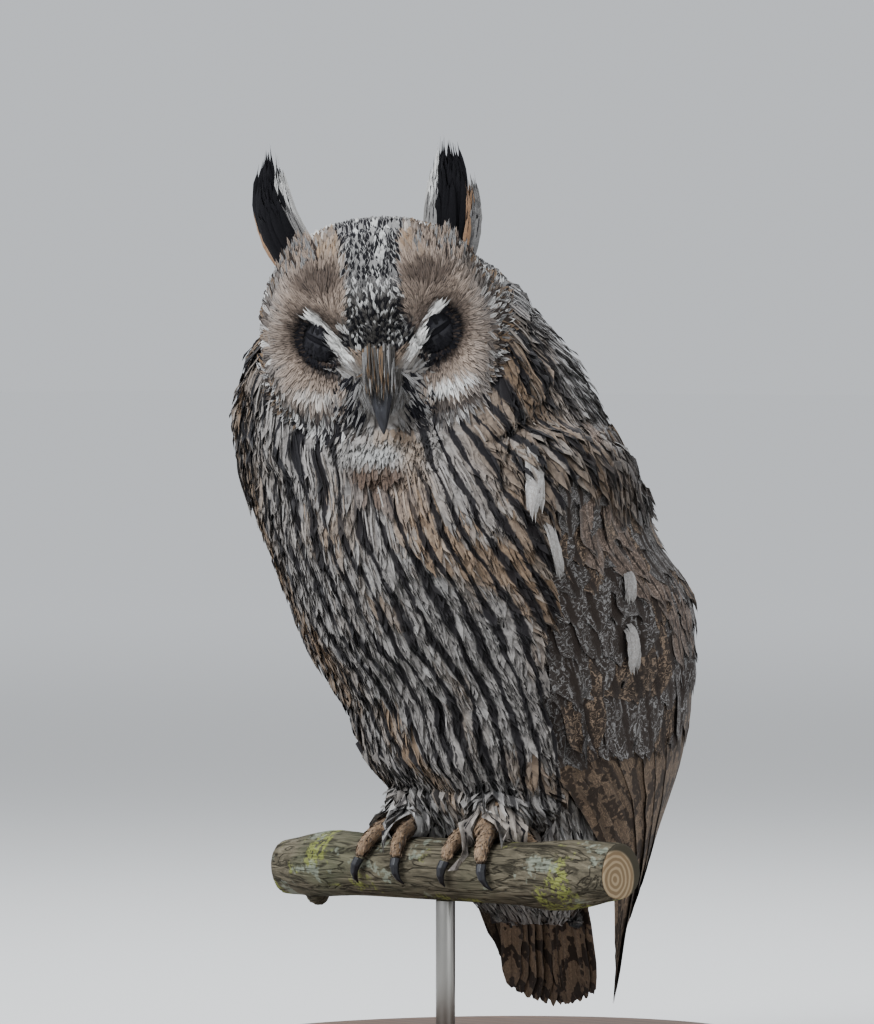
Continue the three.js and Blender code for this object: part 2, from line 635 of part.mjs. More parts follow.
// Finishes.
const finish = (color, roughness, metalness = 0) => new THREE.MeshStandardMaterial({ color, roughness, metalness });
const finishes = {
  plumage: finish("#8a7a66", 0.9),
  tuft: finish("#3a332d", 0.9),
  wing: finish("#5f5348", 0.88),
  tail: finish("#8b7760", 0.88),
  leg: finish("#b89a76", 0.95),
  bill: finish("#33322f", 0.45),
  eye: finish("#e0801c", 0.15),
  claw: finish("#1c1a19", 0.35),
  bark: finish("#6d6a55", 0.95),
  wood: finish("#4a3120", 0.5),
  steel: finish("#8d8d8d", 0.35, 1),
};

const owl = new THREE.Group();
function add(name, solid, material) {
  const mesh = new THREE.Mesh(asGeometry(settled(solid)), finishes[material]);
  mesh.name = name;
  owl.add(mesh);
}

// The pieces that others are cut clear of are grown by the gap.
const bodyGrown = wholeBody(GAP);
const headGrown = toWorld(skull(GAP));
const perchGrown = perchSolid(GAP);
const body = wholeBody(0);
const trunk = cutAt(body, NECK_CUT, false).subtract(headGrown);

add("torso", cutAt(trunk, TAIL_CUT, true), "plumage");
add("neck", cutAt(body, NECK_CUT, true).subtract(headGrown), "plumage");
add("head", toWorld(headSolid()), "plumage");
add("bill_upper", toWorld(billSolid(true).subtract(skull(GAP))), "bill");
add("bill_lower", toWorld(billSolid(false).subtract(skull(GAP)).subtract(billSolid(true))), "bill");
add("tail", joined([cutAt(trunk, TAIL_CUT, false), ...tailVanes().map((v) => cutAt(v, TAIL_CUT, false))]), "tail");

for (const [word, side] of [
  ["left", 1],
  ["right", -1],
]) {
  add(`ear_tuft_${word}`, toWorld(tuftSolid(side).subtract(skull(GAP))).subtract(bodyGrown), "tuft");
  add(`eye_${word}`, toWorld(eyeSolid(side)), "eye");
  add(`wing_${word}`, wingSolid(side, bodyGrown), "wing");
  const foot = footSolid(side, perchGrown, bodyGrown);
  add(`foot_${word}`, foot, "leg");
  add(`leg_${word}`, legSolid(side, bodyGrown, footSolid(side, perchGrown, body, GAP * 1.3)), "leg");
  for (const toe of TOES) add(`claw_${word}_${toe.name}`, clawSolid(toe, side, perchGrown), "claw");
}

add("perch_branch", perchSolid(0), "bark");
add("stand_rod", rodSolid(perchGrown), "steel");
add("stand_base", baseSolid(), "wood");

export default owl;
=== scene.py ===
"""A long-eared owl at rest on a cut branch: its skin, feathers, bare parts, perch and stand."""

import math
from contextlib import contextmanager

import bpy
import numpy as np
from mathutils import Matrix, Vector
from mathutils.bvhtree import BVHTree


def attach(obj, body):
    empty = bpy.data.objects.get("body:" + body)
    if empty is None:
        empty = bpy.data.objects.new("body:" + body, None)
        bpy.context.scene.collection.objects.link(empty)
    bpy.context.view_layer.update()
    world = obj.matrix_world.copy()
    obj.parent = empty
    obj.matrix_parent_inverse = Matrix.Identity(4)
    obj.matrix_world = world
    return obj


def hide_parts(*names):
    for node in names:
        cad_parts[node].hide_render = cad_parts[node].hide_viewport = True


bl_info = {
    "name": "Perched Owl",
    "version": (1, 0, 0),
    "blender": (4, 5, 0),
    "location": "View3D > Sidebar > Owl",
    "description": "Builds a life-size long-eared owl over its solid frame",
    "category": "Object",
}

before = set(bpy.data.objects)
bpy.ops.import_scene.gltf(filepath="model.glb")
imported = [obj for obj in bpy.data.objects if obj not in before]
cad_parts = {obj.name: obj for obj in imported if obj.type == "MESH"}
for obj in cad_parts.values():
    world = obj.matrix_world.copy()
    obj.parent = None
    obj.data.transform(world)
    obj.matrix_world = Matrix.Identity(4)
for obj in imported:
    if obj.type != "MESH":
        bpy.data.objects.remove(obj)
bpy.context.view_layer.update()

MM = 0.001
RAD = math.pi / 180
SIDES = (("left", 1.0), ("right", -1.0))

# Sections of the body in millimetres: height, middle x and y, half width, half depth, and turn in degrees.
BODY = np.array(
    [
        (346, 0, -52, 24, 22, 38),
        (333, -1, -49, 42, 34, 38),
        (320, -2, -45, 51, 40, 38),
        (306, -4, -39, 62, 42, 38),
        (292, -3.5, -38, 70, 45, 37),
        (277, -3, -37, 77, 47, 34),
        (261, -1, -33, 79, 57, 28),
        (244, 0, -27, 79, 67, 19),
        (222, 0, -16, 74, 77, 8),
        (199, 0, 1, 71, 83, 0),
        (176, 0, 10, 68, 77, 0),
        (158, 0, 19, 64, 70, 0),
        (130, 0, 22, 56, 60, 0),
        (112, 0, 27, 48, 45, 0),
        (96, 0, 31, 43, 37, 0),
        (76, 0, 27, 33, 22, 0),
        (58, 0, 34, 15, 9, 0),
    ],
    float,
)
SECTION = 2.3  # 2 is an oval, and more is squarer
WING_DEPTH = 5.6
WINGS_FREE = 120  # the height below which the wings stand off the body
# Sections of the outer face of the folded wings, which leave the body below the belly.
WING_FACE = np.vstack(
    [
        BODY[(BODY[:, 0] <= 292) & (BODY[:, 0] >= 158)] + np.array([0, 0, 0, WING_DEPTH, WING_DEPTH, 0]),
        [
            (130, 0, 24, 64, 66, 0),
            (97, 0, 38, 50.5, 40, 0),
            (60, 0, 41, 39, 23, 0),
            (28, 0, 47, 29, 16, 0),
        ],
    ]
)
# Height, and the angles from the breast bone of the wing's leading edge and of its edge at the spine. They
# don't turn with the neck.
WING_EDGES = np.array(
    [
        (268, 80, 106),
        (254, 71, 130),
        (240, 64, 150),
        (220, 57, 167),
        (199, 48, 174),
        (158, 46, 176.5),
        (130, 58, 176.5),
        (97, 74, 176),
        (60, 96, 174),
        (28, 104, 168),
    ],
    float,
)

HEAD = (
    Matrix.Translation((0, -60, 311))
    @ Matrix.Rotation(39 * RAD, 4, "Z")
    @ Matrix.Rotation(8 * RAD, 4, "X")
    @ Matrix.Rotation(-5 * RAD, 4, "Y")
)
HEAD_TURN = np.array(HEAD.to_3x3())
HEAD_AT = np.array(HEAD.translation)
SKULL = (48.5, 47.0, 48.0)  # half width, up and down
EYE = np.array((21.5, -23.5, 1.0))
EYE_RADIUS = 9.3
IRIS_EDGE = 52.0  # degrees from the middle of the gaze
LID_SLANT, UPPER_LID, LOWER_LID = 26.0, 5.0, -9.0  # degrees: the slit, and the edges of the two lids
BROW = ((9.0, -12.0), (28.0, 15.5))  # across and up the face, the lower end first
TUFT_ROOT = (0.0, 33.0)  # depth and height in the head's axes
FLESH = ("torso", "neck", "head", "leg_left", "leg_right", "foot_left", "foot_right")
PERCH_Y, PERCH_Z = -23.0, 87.0  # the axis of the branch
PERCH_RADIUS, PERCH_HALF = 13.0, 94.0
FOOT_Y = -22.0
BASE_TOP = 16.0


def length_property(name, description, default):
    return bpy.props.FloatProperty(name=name, description=description, default=default, unit="LENGTH")


def colour_property(name, description, default):
    return bpy.props.FloatVectorProperty(
        name=name, description=description, default=default, size=3, subtype="COLOR", min=0, max=1
    )


class OwlSizes(bpy.types.PropertyGroup):
    """Lengths of the plumage."""

    skin_voxel: length_property("Skin detail", "Grid size of the remeshed skin", 0.0018)
    breast_feather: length_property("Breast feather", "Length of a feather of the breast", 0.029)
    back_feather: length_property("Back feather", "Length of a feather of the mantle", 0.025)
    neck_feather: length_property("Neck feather", "Length of a feather of the nape", 0.021)
    crown_feather: length_property("Crown feather", "Length of a feather of the crown", 0.0095)
    face_feather: length_property("Face feather", "Length of a feather of the facial disc", 0.0095)
    tuft_feather: length_property("Ear tuft feather", "Length of the longest feather of an ear tuft", 0.046)
    streak_length: length_property("Streak length", "Length of one dark streak of the breast", 0.040)
    streak_pitch: bpy.props.FloatProperty(
        name="Streak pitch",
        description="Angle round the body between dark streaks",
        default=6.6 * RAD,
        subtype="ANGLE",
    )


class OwlColours(bpy.types.PropertyGroup):
    """Colours of the plumage and of the bare parts."""

    white: colour_property("White", "Brows, chin and pale spots", (0.68, 0.67, 0.65))
    cream: colour_property("Cream", "Pale ground of the underparts", (0.268, 0.260, 0.254))
    buff: colour_property("Buff", "Warm ground of breast and neck", (0.27, 0.19, 0.125))
    tan: colour_property("Tan", "Sides of the facial disc", (0.355, 0.285, 0.235))
    grey: colour_property("Grey", "Ground of the upperparts", (0.23, 0.215, 0.20))
    brown: colour_property("Brown", "Markings of the upperparts", (0.048, 0.036, 0.030))
    black: colour_property("Black", "Streaks, tufts and eye patches", (0.010, 0.0095, 0.012))
    iris: colour_property("Iris", "Iris of the eye", (0.70, 0.22, 0.02))
    horn: colour_property("Horn", "Bill and claws", (0.012, 0.012, 0.015))
    bark: colour_property("Bark", "Bark of the perch", (0.13, 0.115, 0.085))
    lichen: colour_property("Lichen", "Lichen on the perch", (0.27, 0.29, 0.10))
    wood: colour_property("Base wood", "Wood of the stand's base", (0.11, 0.05, 0.022))


def sizes():
    return bpy.context.scene.owl_sizes


def tint(name):
    return np.array(getattr(bpy.context.scene.owl_colours, name))


# Shader expressions.


class Field:
    """A socket of one material that takes part in Python arithmetic."""

    def __init__(self, shade, socket):
        self.shade = shade
        self.socket = socket

    def math(self, operation, *others):
        node = self.shade.node("ShaderNodeMath", {"operation": operation}, [self, *others])
        return Field(self.shade, node.outputs[0])

    def __add__(self, other):
        return self.math("ADD", other)

    def __sub__(self, other):
        return self.math("SUBTRACT", other)

    def __rsub__(self, other):
        return (self * -1.0).math("ADD", other)

    def __mul__(self, other):
        return self.math("MULTIPLY", other)

    def __pow__(self, other):
        return self.math("POWER", other)

    def __abs__(self):
        return self.math("ABSOLUTE")

    __radd__ = __add__
    __rmul__ = __mul__

    def step(self, low, high):
        """0 below low and 1 above high, smooth between them."""
        node = self.shade.node(
            "ShaderNodeMapRange",
            {"interpolation_type": "SMOOTHSTEP"},
            {"Value": self, "From Min": low, "From Max": high},
        )
        return Field(self.shade, node.outputs["Result"])


class Shade:
    """A material that is built from expressions."""

    def __init__(self, name):
        self.material = bpy.data.materials.new(name)
        self.material.use_nodes = True
        self.tree = self.material.node_tree
        self.tree.nodes.clear()

    def node(self, kind, settings=None, values=None):
        """A node with its settings, and then the values or links of its sockets."""
        node = self.tree.nodes.new(kind)
        for key, value in (settings or {}).items():
            setattr(node, key, value)
        pairs = values.items() if isinstance(values, dict) else enumerate(values or [])
        for key, value in pairs:
            if isinstance(value, Field):
                self.tree.links.new(value.socket, node.inputs[key])
            else:
                node.inputs[key].default_value = value
        return node

    def field(self, kind, settings=None, values=None, out=0):
        return Field(self, self.node(kind, settings, values).outputs[out])

    def attribute(self, name, out="Vector"):
        return self.field("ShaderNodeAttribute", {"attribute_name": name}, out=out)

    def parts(self, vector):
        """The three numbers of a vector."""
        node = self.node("ShaderNodeSeparateXYZ", None, [vector])
        return [Field(self, node.outputs[k]) for k in range(3)]

    def vector(self, x, y, z=0.0):
        return self.field("ShaderNodeCombineXYZ", None, [x, y, z])

    def place(self, scale=(1, 1, 1)):
        """Object coordinates, scaled along each axis."""
        here = self.field("ShaderNodeTexCoord", out="Object")
        return self.field("ShaderNodeVectorMath", {"operation": "MULTIPLY"}, [here, scale])

    def noise(self, where, scale, detail=3.0, rough=0.5, warp=0.0):
        values = {"Vector": where, "Scale": scale, "Detail": detail, "Roughness": rough, "Distortion": warp}
        return self.field("ShaderNodeTexNoise", None, values)

    def chance(self, value):
        """A steady random number for each whole value."""
        return self.field("ShaderNodeTexWhiteNoise", {"noise_dimensions": "1D"}, {"W": value})

    def mix(self, factor, a, b):
        """Colour a where the factor is 0 and b where it is 1."""
        first, second = (v if isinstance(v, Field) else (*v, 1) for v in (a, b))
        settings = {"data_type": "RGBA", "blend_type": "MIX"}
        return self.field("ShaderNodeMix", settings, {0: factor, 6: first, 7: second}, 2)

    def bump(self, height, strength, distance):
        values = {"Height": height, "Strength": strength, "Distance": distance}
        return self.field("ShaderNodeBump", None, values)

    def finish(self, colour, roughness, normal=None, metallic=0.0, **constants):
        colour = colour if isinstance(colour, Field) else (*colour, 1)
        values = {"Base Color": colour, "Roughness": roughness, "Metallic": metallic}
        if normal is not None:
            values["Normal"] = normal
        values.update({key.replace("_", " "): value for key, value in constants.items()})
        shader = self.node("ShaderNodeBsdfPrincipled", None, values)
        output = self.node("ShaderNodeOutputMaterial")
        self.tree.links.new(shader.outputs[0], output.inputs[0])
        return self.material


def plumage_material():
    """Feathers: ground and markings come with each feather, and the streaks run on from one to the next."""
    s = Shade("plumage")
    u, v, _ = s.parts(s.field("ShaderNodeUVMap", {"uv_map": "vane"}))
    across = abs(u * 2.0 - 1.0)
    shaft, bars, fine = s.parts(s.attribute("marks"))
    column, run, long_streak = s.parts(s.attribute("coat"))
    fringe, tone, seed = s.parts(s.attribute("mood"))
    ground = s.attribute("ground", "Color")
    dark = s.attribute("dark", "Color")
    here = s.place()
    wander = s.noise(here, 420.0, 2.0) - 0.5
    ripple = s.noise(here, 260.0, 2.0) - 0.5
    # A streak on the shaft of the feather itself.
    drop = shaft * (0.55 + v * 0.9)
    on_shaft = 1.0 - (across + wander * 0.5).step(drop * 0.6, drop * 1.3 + 0.01)
    on_shaft = on_shaft * shaft.step(0.0, 0.08)
    # Long wavy streaks that run over many feathers, thicker and thinner on their way.
    sway = s.noise(s.vector(column * 0.35, run * 1.6), 1.0, 2.0) - 0.5
    line = column + sway * 1.1
    cell = line.math("FLOOR")
    middle = abs(line.math("FRACT") - 0.5)
    reach = run + s.chance(cell + 3.0) * 7.0
    fade = (reach.math("FRACT") * math.pi).math("SINE")
    size = (0.16 + 0.19 * s.chance(cell * 7.0 + reach.math("FLOOR") + 11.0)) * (0.3 + 0.7 * fade)
    inside = 1.0 - (middle + wander * 0.18 + ripple * 0.09).step(size * 0.75, size * 1.15 + 0.04)
    in_streak = inside * long_streak
    # Bars, and fine wavy lines.
    wave = ((v * 5.0 + across * -0.5 + ripple * 1.3 + seed) * (2 * math.pi)).math("SINE")
    in_bar = wave.step(0.0, 0.55) * bars
    scribble = s.noise(s.vector(u * 8.0 + seed * 40.0, v * 34.0 + ripple * 12.0), 1.0, 3.0, 0.62, 0.5)
    in_fine = scribble.step(0.41, 0.50) * fine
    marked = on_shaft.math("MAXIMUM", in_streak).math("MAXIMUM", in_bar).math("MAXIMUM", in_fine)
    colour = s.mix(marked, ground, dark)
    # Worn pale edges, the fine comb of the barbs, and a little life in each feather.
    edge = across.step(0.6, 0.98).math("MAXIMUM", v.step(0.84, 0.99)) * fringe
    colour = s.mix(edge * 0.7, colour, tint("cream") * 1.1)
    comb = ((v * 60.0 - across * 16.0 + ripple * 3.0 + seed * 9.0) * math.pi).math("SINE")
    light = (tone + comb * 0.05 + (s.noise(here, 900.0, 2.0) - 0.5) * 0.5).math("MAXIMUM", 0.2)
    shaded = s.field("ShaderNodeVectorMath", {"operation": "SCALE"}, {0: colour, "Scale": light})
    normal = s.bump(comb * 0.5 + (1.0 - across.step(0.0, 0.09)), 0.25, 0.0003)
    return s.finish(shaded, 0.8, normal, Specular_IOR_Level=0.2, Sheen_Weight=0.1, Sheen_Roughness=0.5)


def eye_material():
    """A black pupil in an orange iris, under a wet shine."""
    s = Shade("eye")
    out = s.attribute("iris", "Fac")
    spokes = s.noise(s.place(), 900.0, 3.0)
    iris = s.mix(out.step(0.55, 1.0), tint("iris"), tint("iris") * 0.35)
    iris = s.mix(spokes.step(0.5, 0.7) * 0.35, iris, (0.35, 0.07, 0.005))
    colour = s.mix(out.step(0.46, 0.5), (0.004, 0.004, 0.005), iris)
    return s.finish(colour, 0.06, Coat_Roughness=0.02, Specular_IOR_Level=0.7)


def horn_material():
    """The dark horn of bill and claws."""
    s = Shade("horn")
    grain = s.noise(s.place((500, 500, 160)), 1.0, 4.0)
    colour = s.mix(grain.step(0.35, 0.7), tint("horn"), tint("horn") * 2.0 + 0.006)
    return s.finish(colour, 0.34 + 0.2 * grain, s.bump(grain, 0.12, 0.0004), Specular_IOR_Level=0.5)


def bark_material():
    """Furrowed bark with lichen, and growth rings on the two sawn ends."""
    s = Shade("bark")
    bark = tint("bark")
    x, y, z = s.parts(s.place())
    warp = s.noise(s.place(), 30.0, 2.0)
    ridge = s.noise(s.place((38, 300, 300)), 1.0, 6.0, 0.68, 0.9)
    furrow = abs(s.noise(s.place((26, 170, 170)), 1.0, 3.0, 0.55, 1.4) - 0.5)
    patch = s.noise(s.place(), 46.0, 4.0, 0.6)
    colour = s.mix(ridge.step(0.3, 0.7), bark * 0.5, bark * 1.6)
    colour = s.mix(warp.step(0.45, 0.65) * 0.5, colour, (0.12, 0.13, 0.085))
    colour = s.mix((1.0 - furrow.step(0.0, 0.035)) * 0.75, colour, bark * 0.22)
    on_lichen = patch.step(0.55, 0.62) * s.noise(s.place(), 520.0, 2.0).step(0.42, 0.52)
    colour = s.mix(on_lichen * 0.85, colour, tint("lichen"))
    grey_lichen = s.noise(s.place(), 61.0, 4.0, 0.65).step(0.57, 0.62)
    colour = s.mix(grey_lichen * 0.7, colour, (0.27, 0.29, 0.24))
    end = abs(x).step((PERCH_HALF - 0.8) * MM, (PERCH_HALF - 0.4) * MM)
    off = ((y - PERCH_Y * MM) ** 2.0 + (z - PERCH_Z * MM) ** 2.0).math("SQRT")
    ring = (off * 2600.0 + s.noise(s.place(), 120.0, 2.0) * 6.0).math("SINE")
    sawn = s.mix(ring.step(-0.6, 0.9), (0.20, 0.145, 0.09), (0.32, 0.25, 0.165))
    sawn = s.mix(off.step((PERCH_RADIUS - 2.2) * MM, (PERCH_RADIUS - 0.8) * MM), sawn, bark * 0.5)
    colour = s.mix(end, colour, sawn)
    height = (ridge + furrow.step(0.0, 0.05) * 0.7 + on_lichen * 0.3) * (1.0 - end)
    return s.finish(colour, 0.88, s.bump(height, 0.8, 0.0016), Specular_IOR_Level=0.2)


def wood_material():
    """Oiled wood with its grain along the board."""
    s = Shade("base_wood")
    wood = tint("wood")
    grain = s.noise(s.place((24, 420, 160)), 1.0, 5.0, 0.6, 0.4)
    _, y, _ = s.parts(s.place())
    rings = ((y * 620.0 + grain * 4.0 + s.noise(s.place((3, 12, 12)), 1.0, 2.0) * 22.0)).math("SINE")
    colour = s.mix(rings.step(-0.9, 1.0), wood * 0.72, wood * 1.12)
    colour = s.mix(grain.step(0.62, 0.72) * 0.5, colour, wood * 0.3)
    return s.finish(colour, 0.36 + 0.14 * grain, s.bump(grain, 0.1, 0.0004), Specular_IOR_Level=0.4)


def steel_material():
    """Brushed steel of the rod."""
    s = Shade("rod_steel")
    rub = s.noise(s.place((260, 260, 2600)), 1.0, 3.0)
    return s.finish((0.36, 0.35, 0.33), 0.24 + 0.2 * rub, s.bump(rub, 0.05, 0.0002), 1.0)


def lid_material():
    """The black folded skin of the eyelids."""
    s = Shade("lid_skin")
    fold = s.noise(s.place((300, 300, 900)), 1.0, 3.0)
    bump = s.bump(fold, 0.4, 0.0004)
    return s.finish(tint("black") * 1.6, 0.45 + 0.2 * fold, bump, Specular_IOR_Level=0.4)


def floor_material():
    """Pale paper with painted light: lighter towards the horizon, where the lamps light it less, so that it
    is as bright as the sky there.
    """
    s = Shade("floor")
    x, y, _ = s.parts(s.place())
    # Painted light: the paper lightens with the distance from the bird, to make up for the lamps' light that
    # falls off.
    far = (x * x + y * y).math("SQRT").step(0.3, 6.0)
    return s.finish(s.mix(far, (0.60, 0.60, 0.595), (0.98, 0.98, 0.98)), 0.9, Specular_IOR_Level=0.0)


# Shapes in millimetres.


def curve(rows, column, z):
    """One column of a table, smooth through its rows, at heights z. The rows run downwards."""
    at = rows[:, 0]
    value = rows[:, column]
    slope = np.diff(value) / np.diff(at)
    tangent = np.concatenate([[slope[0]], (value[2:] - value[:-2]) / (at[2:] - at[:-2]), [slope[-1]]])
    z = np.clip(z, at[-1], at[0])
    i = np.clip(np.searchsorted(-at, -np.asarray(z, float), side="right") - 1, 0, len(at) - 2)
    span = at[i + 1] - at[i]
    s = (z - at[i]) / span
    return (
        (2 * s**3 - 3 * s**2 + 1) * value[i]
        + (s**3 - 2 * s**2 + s) * span * tangent[i]
        + (3 * s**2 - 2 * s**3) * value[i + 1]
        + (s**3 - s**2) * span * tangent[i + 1]
    )


def around(rows, z, angle, grow):
    """Points at heights z and angles round the body, 0 at the breast bone and positive on the bird's left."""
    z, angle, grow = np.broadcast_arrays(np.asarray(z, float), angle, grow)
    sine, cosine = (np.sign(v) * np.abs(v) ** (2 / SECTION) for v in (np.sin(angle), np.cos(angle)))
    x = (curve(rows, 3, z) + grow) * sine
    y = -(curve(rows, 4, z) + grow) * cosine
    turn = curve(rows, 5, z) * RAD
    turned_x = curve(rows, 1, z) + x * np.cos(turn) - y * np.sin(turn)
    turned_y = curve(rows, 2, z) + x * np.sin(turn) + y * np.cos(turn)
    return np.stack([turned_x, turned_y, z], -1)


def on_wing(z, share, depth, side):
    """Points of the folded wing: share 0 is its leading edge and 1 its edge at the spine."""
    lead = curve(WING_EDGES, 1, z)
    spine = curve(WING_EDGES, 2, z)
    angle = side * np.minimum(lead + (spine - lead) * share, 179.4) - curve(WING_FACE, 5, z)
    return around(WING_FACE, z, angle * RAD, -depth)


def unit(v):
    return v / np.maximum(np.linalg.norm(v, axis=-1, keepdims=True), 1e-9)


def smooth(value, low, high):
    """0 below low and 1 above high, smooth between them."""
    t = np.clip((value - low) / (high - low), 0, 1)
    return t * t * (3 - 2 * t)


def vectors(*parts):
    """Vectors from their parts, any of which may be one number for all."""
    return np.stack(np.broadcast_arrays(*parts), -1).astype(float)


def square_to(way, front):
    """The unit part of a direction that is square to the ways."""
    return unit(front - way * np.sum(way * front, -1, keepdims=True))


def to_head(points):
    return (points - HEAD_AT) @ HEAD_TURN


def from_head(points):
    return points @ HEAD_TURN.T + HEAD_AT


def body_angle(points):
    """The angle of places round the leaning body, in degrees, counted as in around."""
    z = points[..., 2]
    x = points[..., 0] - curve(BODY, 1, z)
    y = points[..., 1] - curve(BODY, 2, z)
    return np.arctan2(x, -y) / RAD


def streak_place(points):
    """Where places lie in the pattern of long streaks: across it, and along it."""
    angle = body_angle(points)
    z = points[..., 2]
    drift = (z - 200) * 0.10 * smooth(np.abs(angle), 150, 60)
    return (angle + drift) * RAD / sizes().streak_pitch + 40, z / (sizes().streak_length / MM)


def haze(points, seed, wave):
    """Slow random change over the body, between 0 and 1."""
    rng = np.random.default_rng(seed)
    total = 0
    for _ in range(7):
        way = unit(rng.normal(size=3)) * 2 * np.pi / (wave * rng.uniform(0.6, 1.6))
        total = total + np.sin(points @ way + rng.uniform(0, 6.28))
    return np.clip(0.5 + total * 0.19, 0, 1)


# Objects.

made = {}  # the plumage's material, and the skin's surface as read_skin keeps it


def nothing_selected():
    for o in bpy.context.selected_objects:
        o.select_set(False)


def work_on(o):
    nothing_selected()
    o.select_set(True)
    bpy.context.view_layer.objects.active = o


@contextmanager
def editing(o):
    """Edit mode on one object, with all of it selected."""
    work_on(o)
    bpy.ops.object.mode_set(mode="EDIT")
    bpy.ops.mesh.select_all(action="SELECT")
    yield
    bpy.ops.object.mode_set(mode="OBJECT")


def copy_of(name):
    """A merged copy of a solid of the frame."""
    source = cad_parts[name]
    o = bpy.data.objects.new(name + "_copy", source.data.copy())
    o.data.materials.clear()
    bpy.context.scene.collection.objects.link(o)
    with editing(o):
        bpy.ops.mesh.remove_doubles(threshold=2e-6)
    return o


def apply_modifier(o, kind, **settings):
    modifier = o.modifiers.new(kind.lower(), kind)
    for key, value in settings.items():
        setattr(modifier, key, value)
    work_on(o)
    bpy.ops.object.modifier_apply(modifier=modifier.name)


def rounded_copy(node, name, voxel, rounds):
    """A copy of a solid, remeshed and with its edges smoothed."""
    o = copy_of(node)
    o.data.remesh_voxel_size = voxel
    bpy.ops.object.voxel_remesh()
    apply_modifier(o, "SMOOTH", factor=0.5, iterations=rounds)
    o.name = name
    o.data.shade_smooth()
    return o


def bevel(o, width, segments, angle):
    """Breaks the edges that are sharper than the angle."""
    apply_modifier(
        o, "BEVEL", width=width, segments=segments, limit_method="ANGLE", angle_limit=angle * RAD
    )


def placed():
    """The new primitive, with its place and size moved into its mesh."""
    bpy.ops.object.transform_apply(location=True, rotation=True, scale=True)
    return bpy.context.active_object


def ball(centre, radius):
    nothing_selected()
    bpy.ops.mesh.primitive_uv_sphere_add(segments=48, ring_count=32, radius=radius * MM, location=centre * MM)
    return placed()


def block(half_x, half_y, low, high, y, vertices):
    """An upright round or oval block between two heights."""
    nothing_selected()
    place = (0, y * MM, (low + high) / 2 * MM)
    bpy.ops.mesh.primitive_cylinder_add(vertices=vertices, radius=1, depth=(high - low) * MM, location=place)
    bpy.context.active_object.scale = (half_x * MM, half_y * MM, 1)
    return placed()


def join(pieces, name):
    nothing_selected()
    for o in pieces:
        o.select_set(True)
    bpy.context.view_layer.objects.active = pieces[0]
    bpy.ops.object.join()
    pieces[0].name = name
    pieces[0].data.name = name
    return pieces[0]


def dress(o, material, slot, *nodes):
    """Gives a piece its material and its body, and hides the solids that it stands for. The slot is not used.
    """
    o.data.materials.clear()
    o.data.materials.append(material)
    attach(o, "root")
    if nodes:
        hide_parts(*nodes)
    return o


def joined_mesh(name, points, faces, corner_maps, point_values):
    """One mesh from arrays: points in millimetres, four-cornered faces, UV maps and values on the points."""
    mesh = bpy.data.meshes.new(name)
    mesh.vertices.add(len(points))
    mesh.vertices.foreach_set("co", (points * MM).astype(np.float32).ravel())
    mesh.loops.add(faces.size)
    mesh.loops.foreach_set("vertex_index", faces.astype(np.int32).ravel())
    mesh.polygons.add(len(faces))
    mesh.polygons.foreach_set("loop_start", np.arange(0, faces.size, 4, dtype=np.int32))
    mesh.update(calc_edges=True)
    for key, uv in corner_maps.items():
        layer = mesh.uv_layers.new(name=key)
        layer.data.foreach_set("uv", uv[faces.ravel()].astype(np.float32).ravel())
    for key, value in point_values.items():
        write_values(mesh, key, value)
    mesh.shade_smooth()
    o = bpy.data.objects.new(name, mesh)
    bpy.context.scene.collection.objects.link(o)
    return o


def write_values(mesh, key, value):
    """Writes a colour or a vector on each point."""
    kind, member = "FLOAT_VECTOR", "vector"
    if key in ("ground", "dark"):
        kind, member = "FLOAT_COLOR", "color"
        value = np.concatenate([value, np.ones((len(value), 1))], 1)
    layer = mesh.attributes.new(key, kind, "POINT")
    layer.data.foreach_set(member, value.astype(np.float32).ravel())


# The skin that the feathers stand on.

DEEPEST = 6.0  # millimetres below the solids


def fused_skin():
    """One skin over all the flesh and the tail's root, a little below the solids, with its unwrap."""
    parts = [copy_of(node) for node in (*FLESH, "tail")]
    with editing(parts[-1]):
        bpy.ops.mesh.bisect(plane_co=(0, 0, 0.061), plane_no=(0, 0, 1), use_fill=True, clear_inner=True)
    skin = join(parts, "skin")
    skin.data.remesh_voxel_size = sizes().skin_voxel
    bpy.ops.object.voxel_remesh()
    apply_modifier(skin, "SMOOTH", factor=0.5, iterations=4)
    group = skin.vertex_groups.new(name="depth")
    for k, weight in enumerate(skin_depth(mesh_points(skin.data)) / DEEPEST):
        group.add([k], float(weight), "REPLACE")
    apply_modifier(skin, "DISPLACE", strength=-DEEPEST * MM, mid_level=0.0, vertex_group="depth")
    apply_modifier(skin, "SMOOTH", factor=0.5, iterations=3)
    skin.vertex_groups.clear()
    for layer in list(skin.data.uv_layers):
        skin.data.uv_layers.remove(layer)
    skin.data.uv_layers.new(name="OFBake")
    with editing(skin):
        bpy.ops.uv.smart_project(angle_limit=66 * RAD, island_margin=0.003)
    skin.data.shade_smooth()
    return skin


def point_vectors(mesh, key):
    values = np.empty(len(mesh.vertices) * 3, np.float32)
    mesh.vertices.foreach_get(key, values)
    return values.reshape(-1, 3).astype(float)


def mesh_points(mesh):
    return point_vectors(mesh, "co") / MM


def skin_depth(points):
    """How far below the solids the skin lies, in millimetres."""
    local = to_head(points)
    off = np.linalg.norm(local, axis=1)
    on_face = smooth(-local[:, 1], 8, 20) * smooth(local[:, 2], -56, -46) * (off < 72)
    under_wing = (1 - smooth(off_wing(points), -12, 4)) * smooth(points[:, 2], 118, 134)
    depth = 5.0 - 4.2 * under_wing
    depth = np.where(off < 60, np.minimum(depth, 2.6), depth)
    depth = depth * (1 - on_face) + 1.2 * on_face
    foot = (points[:, 2] < 116) & (np.abs(points[:, 1] - FOOT_Y) < 22) & (points[:, 1] < -2)
    return np.where(foot, 0.9, depth)


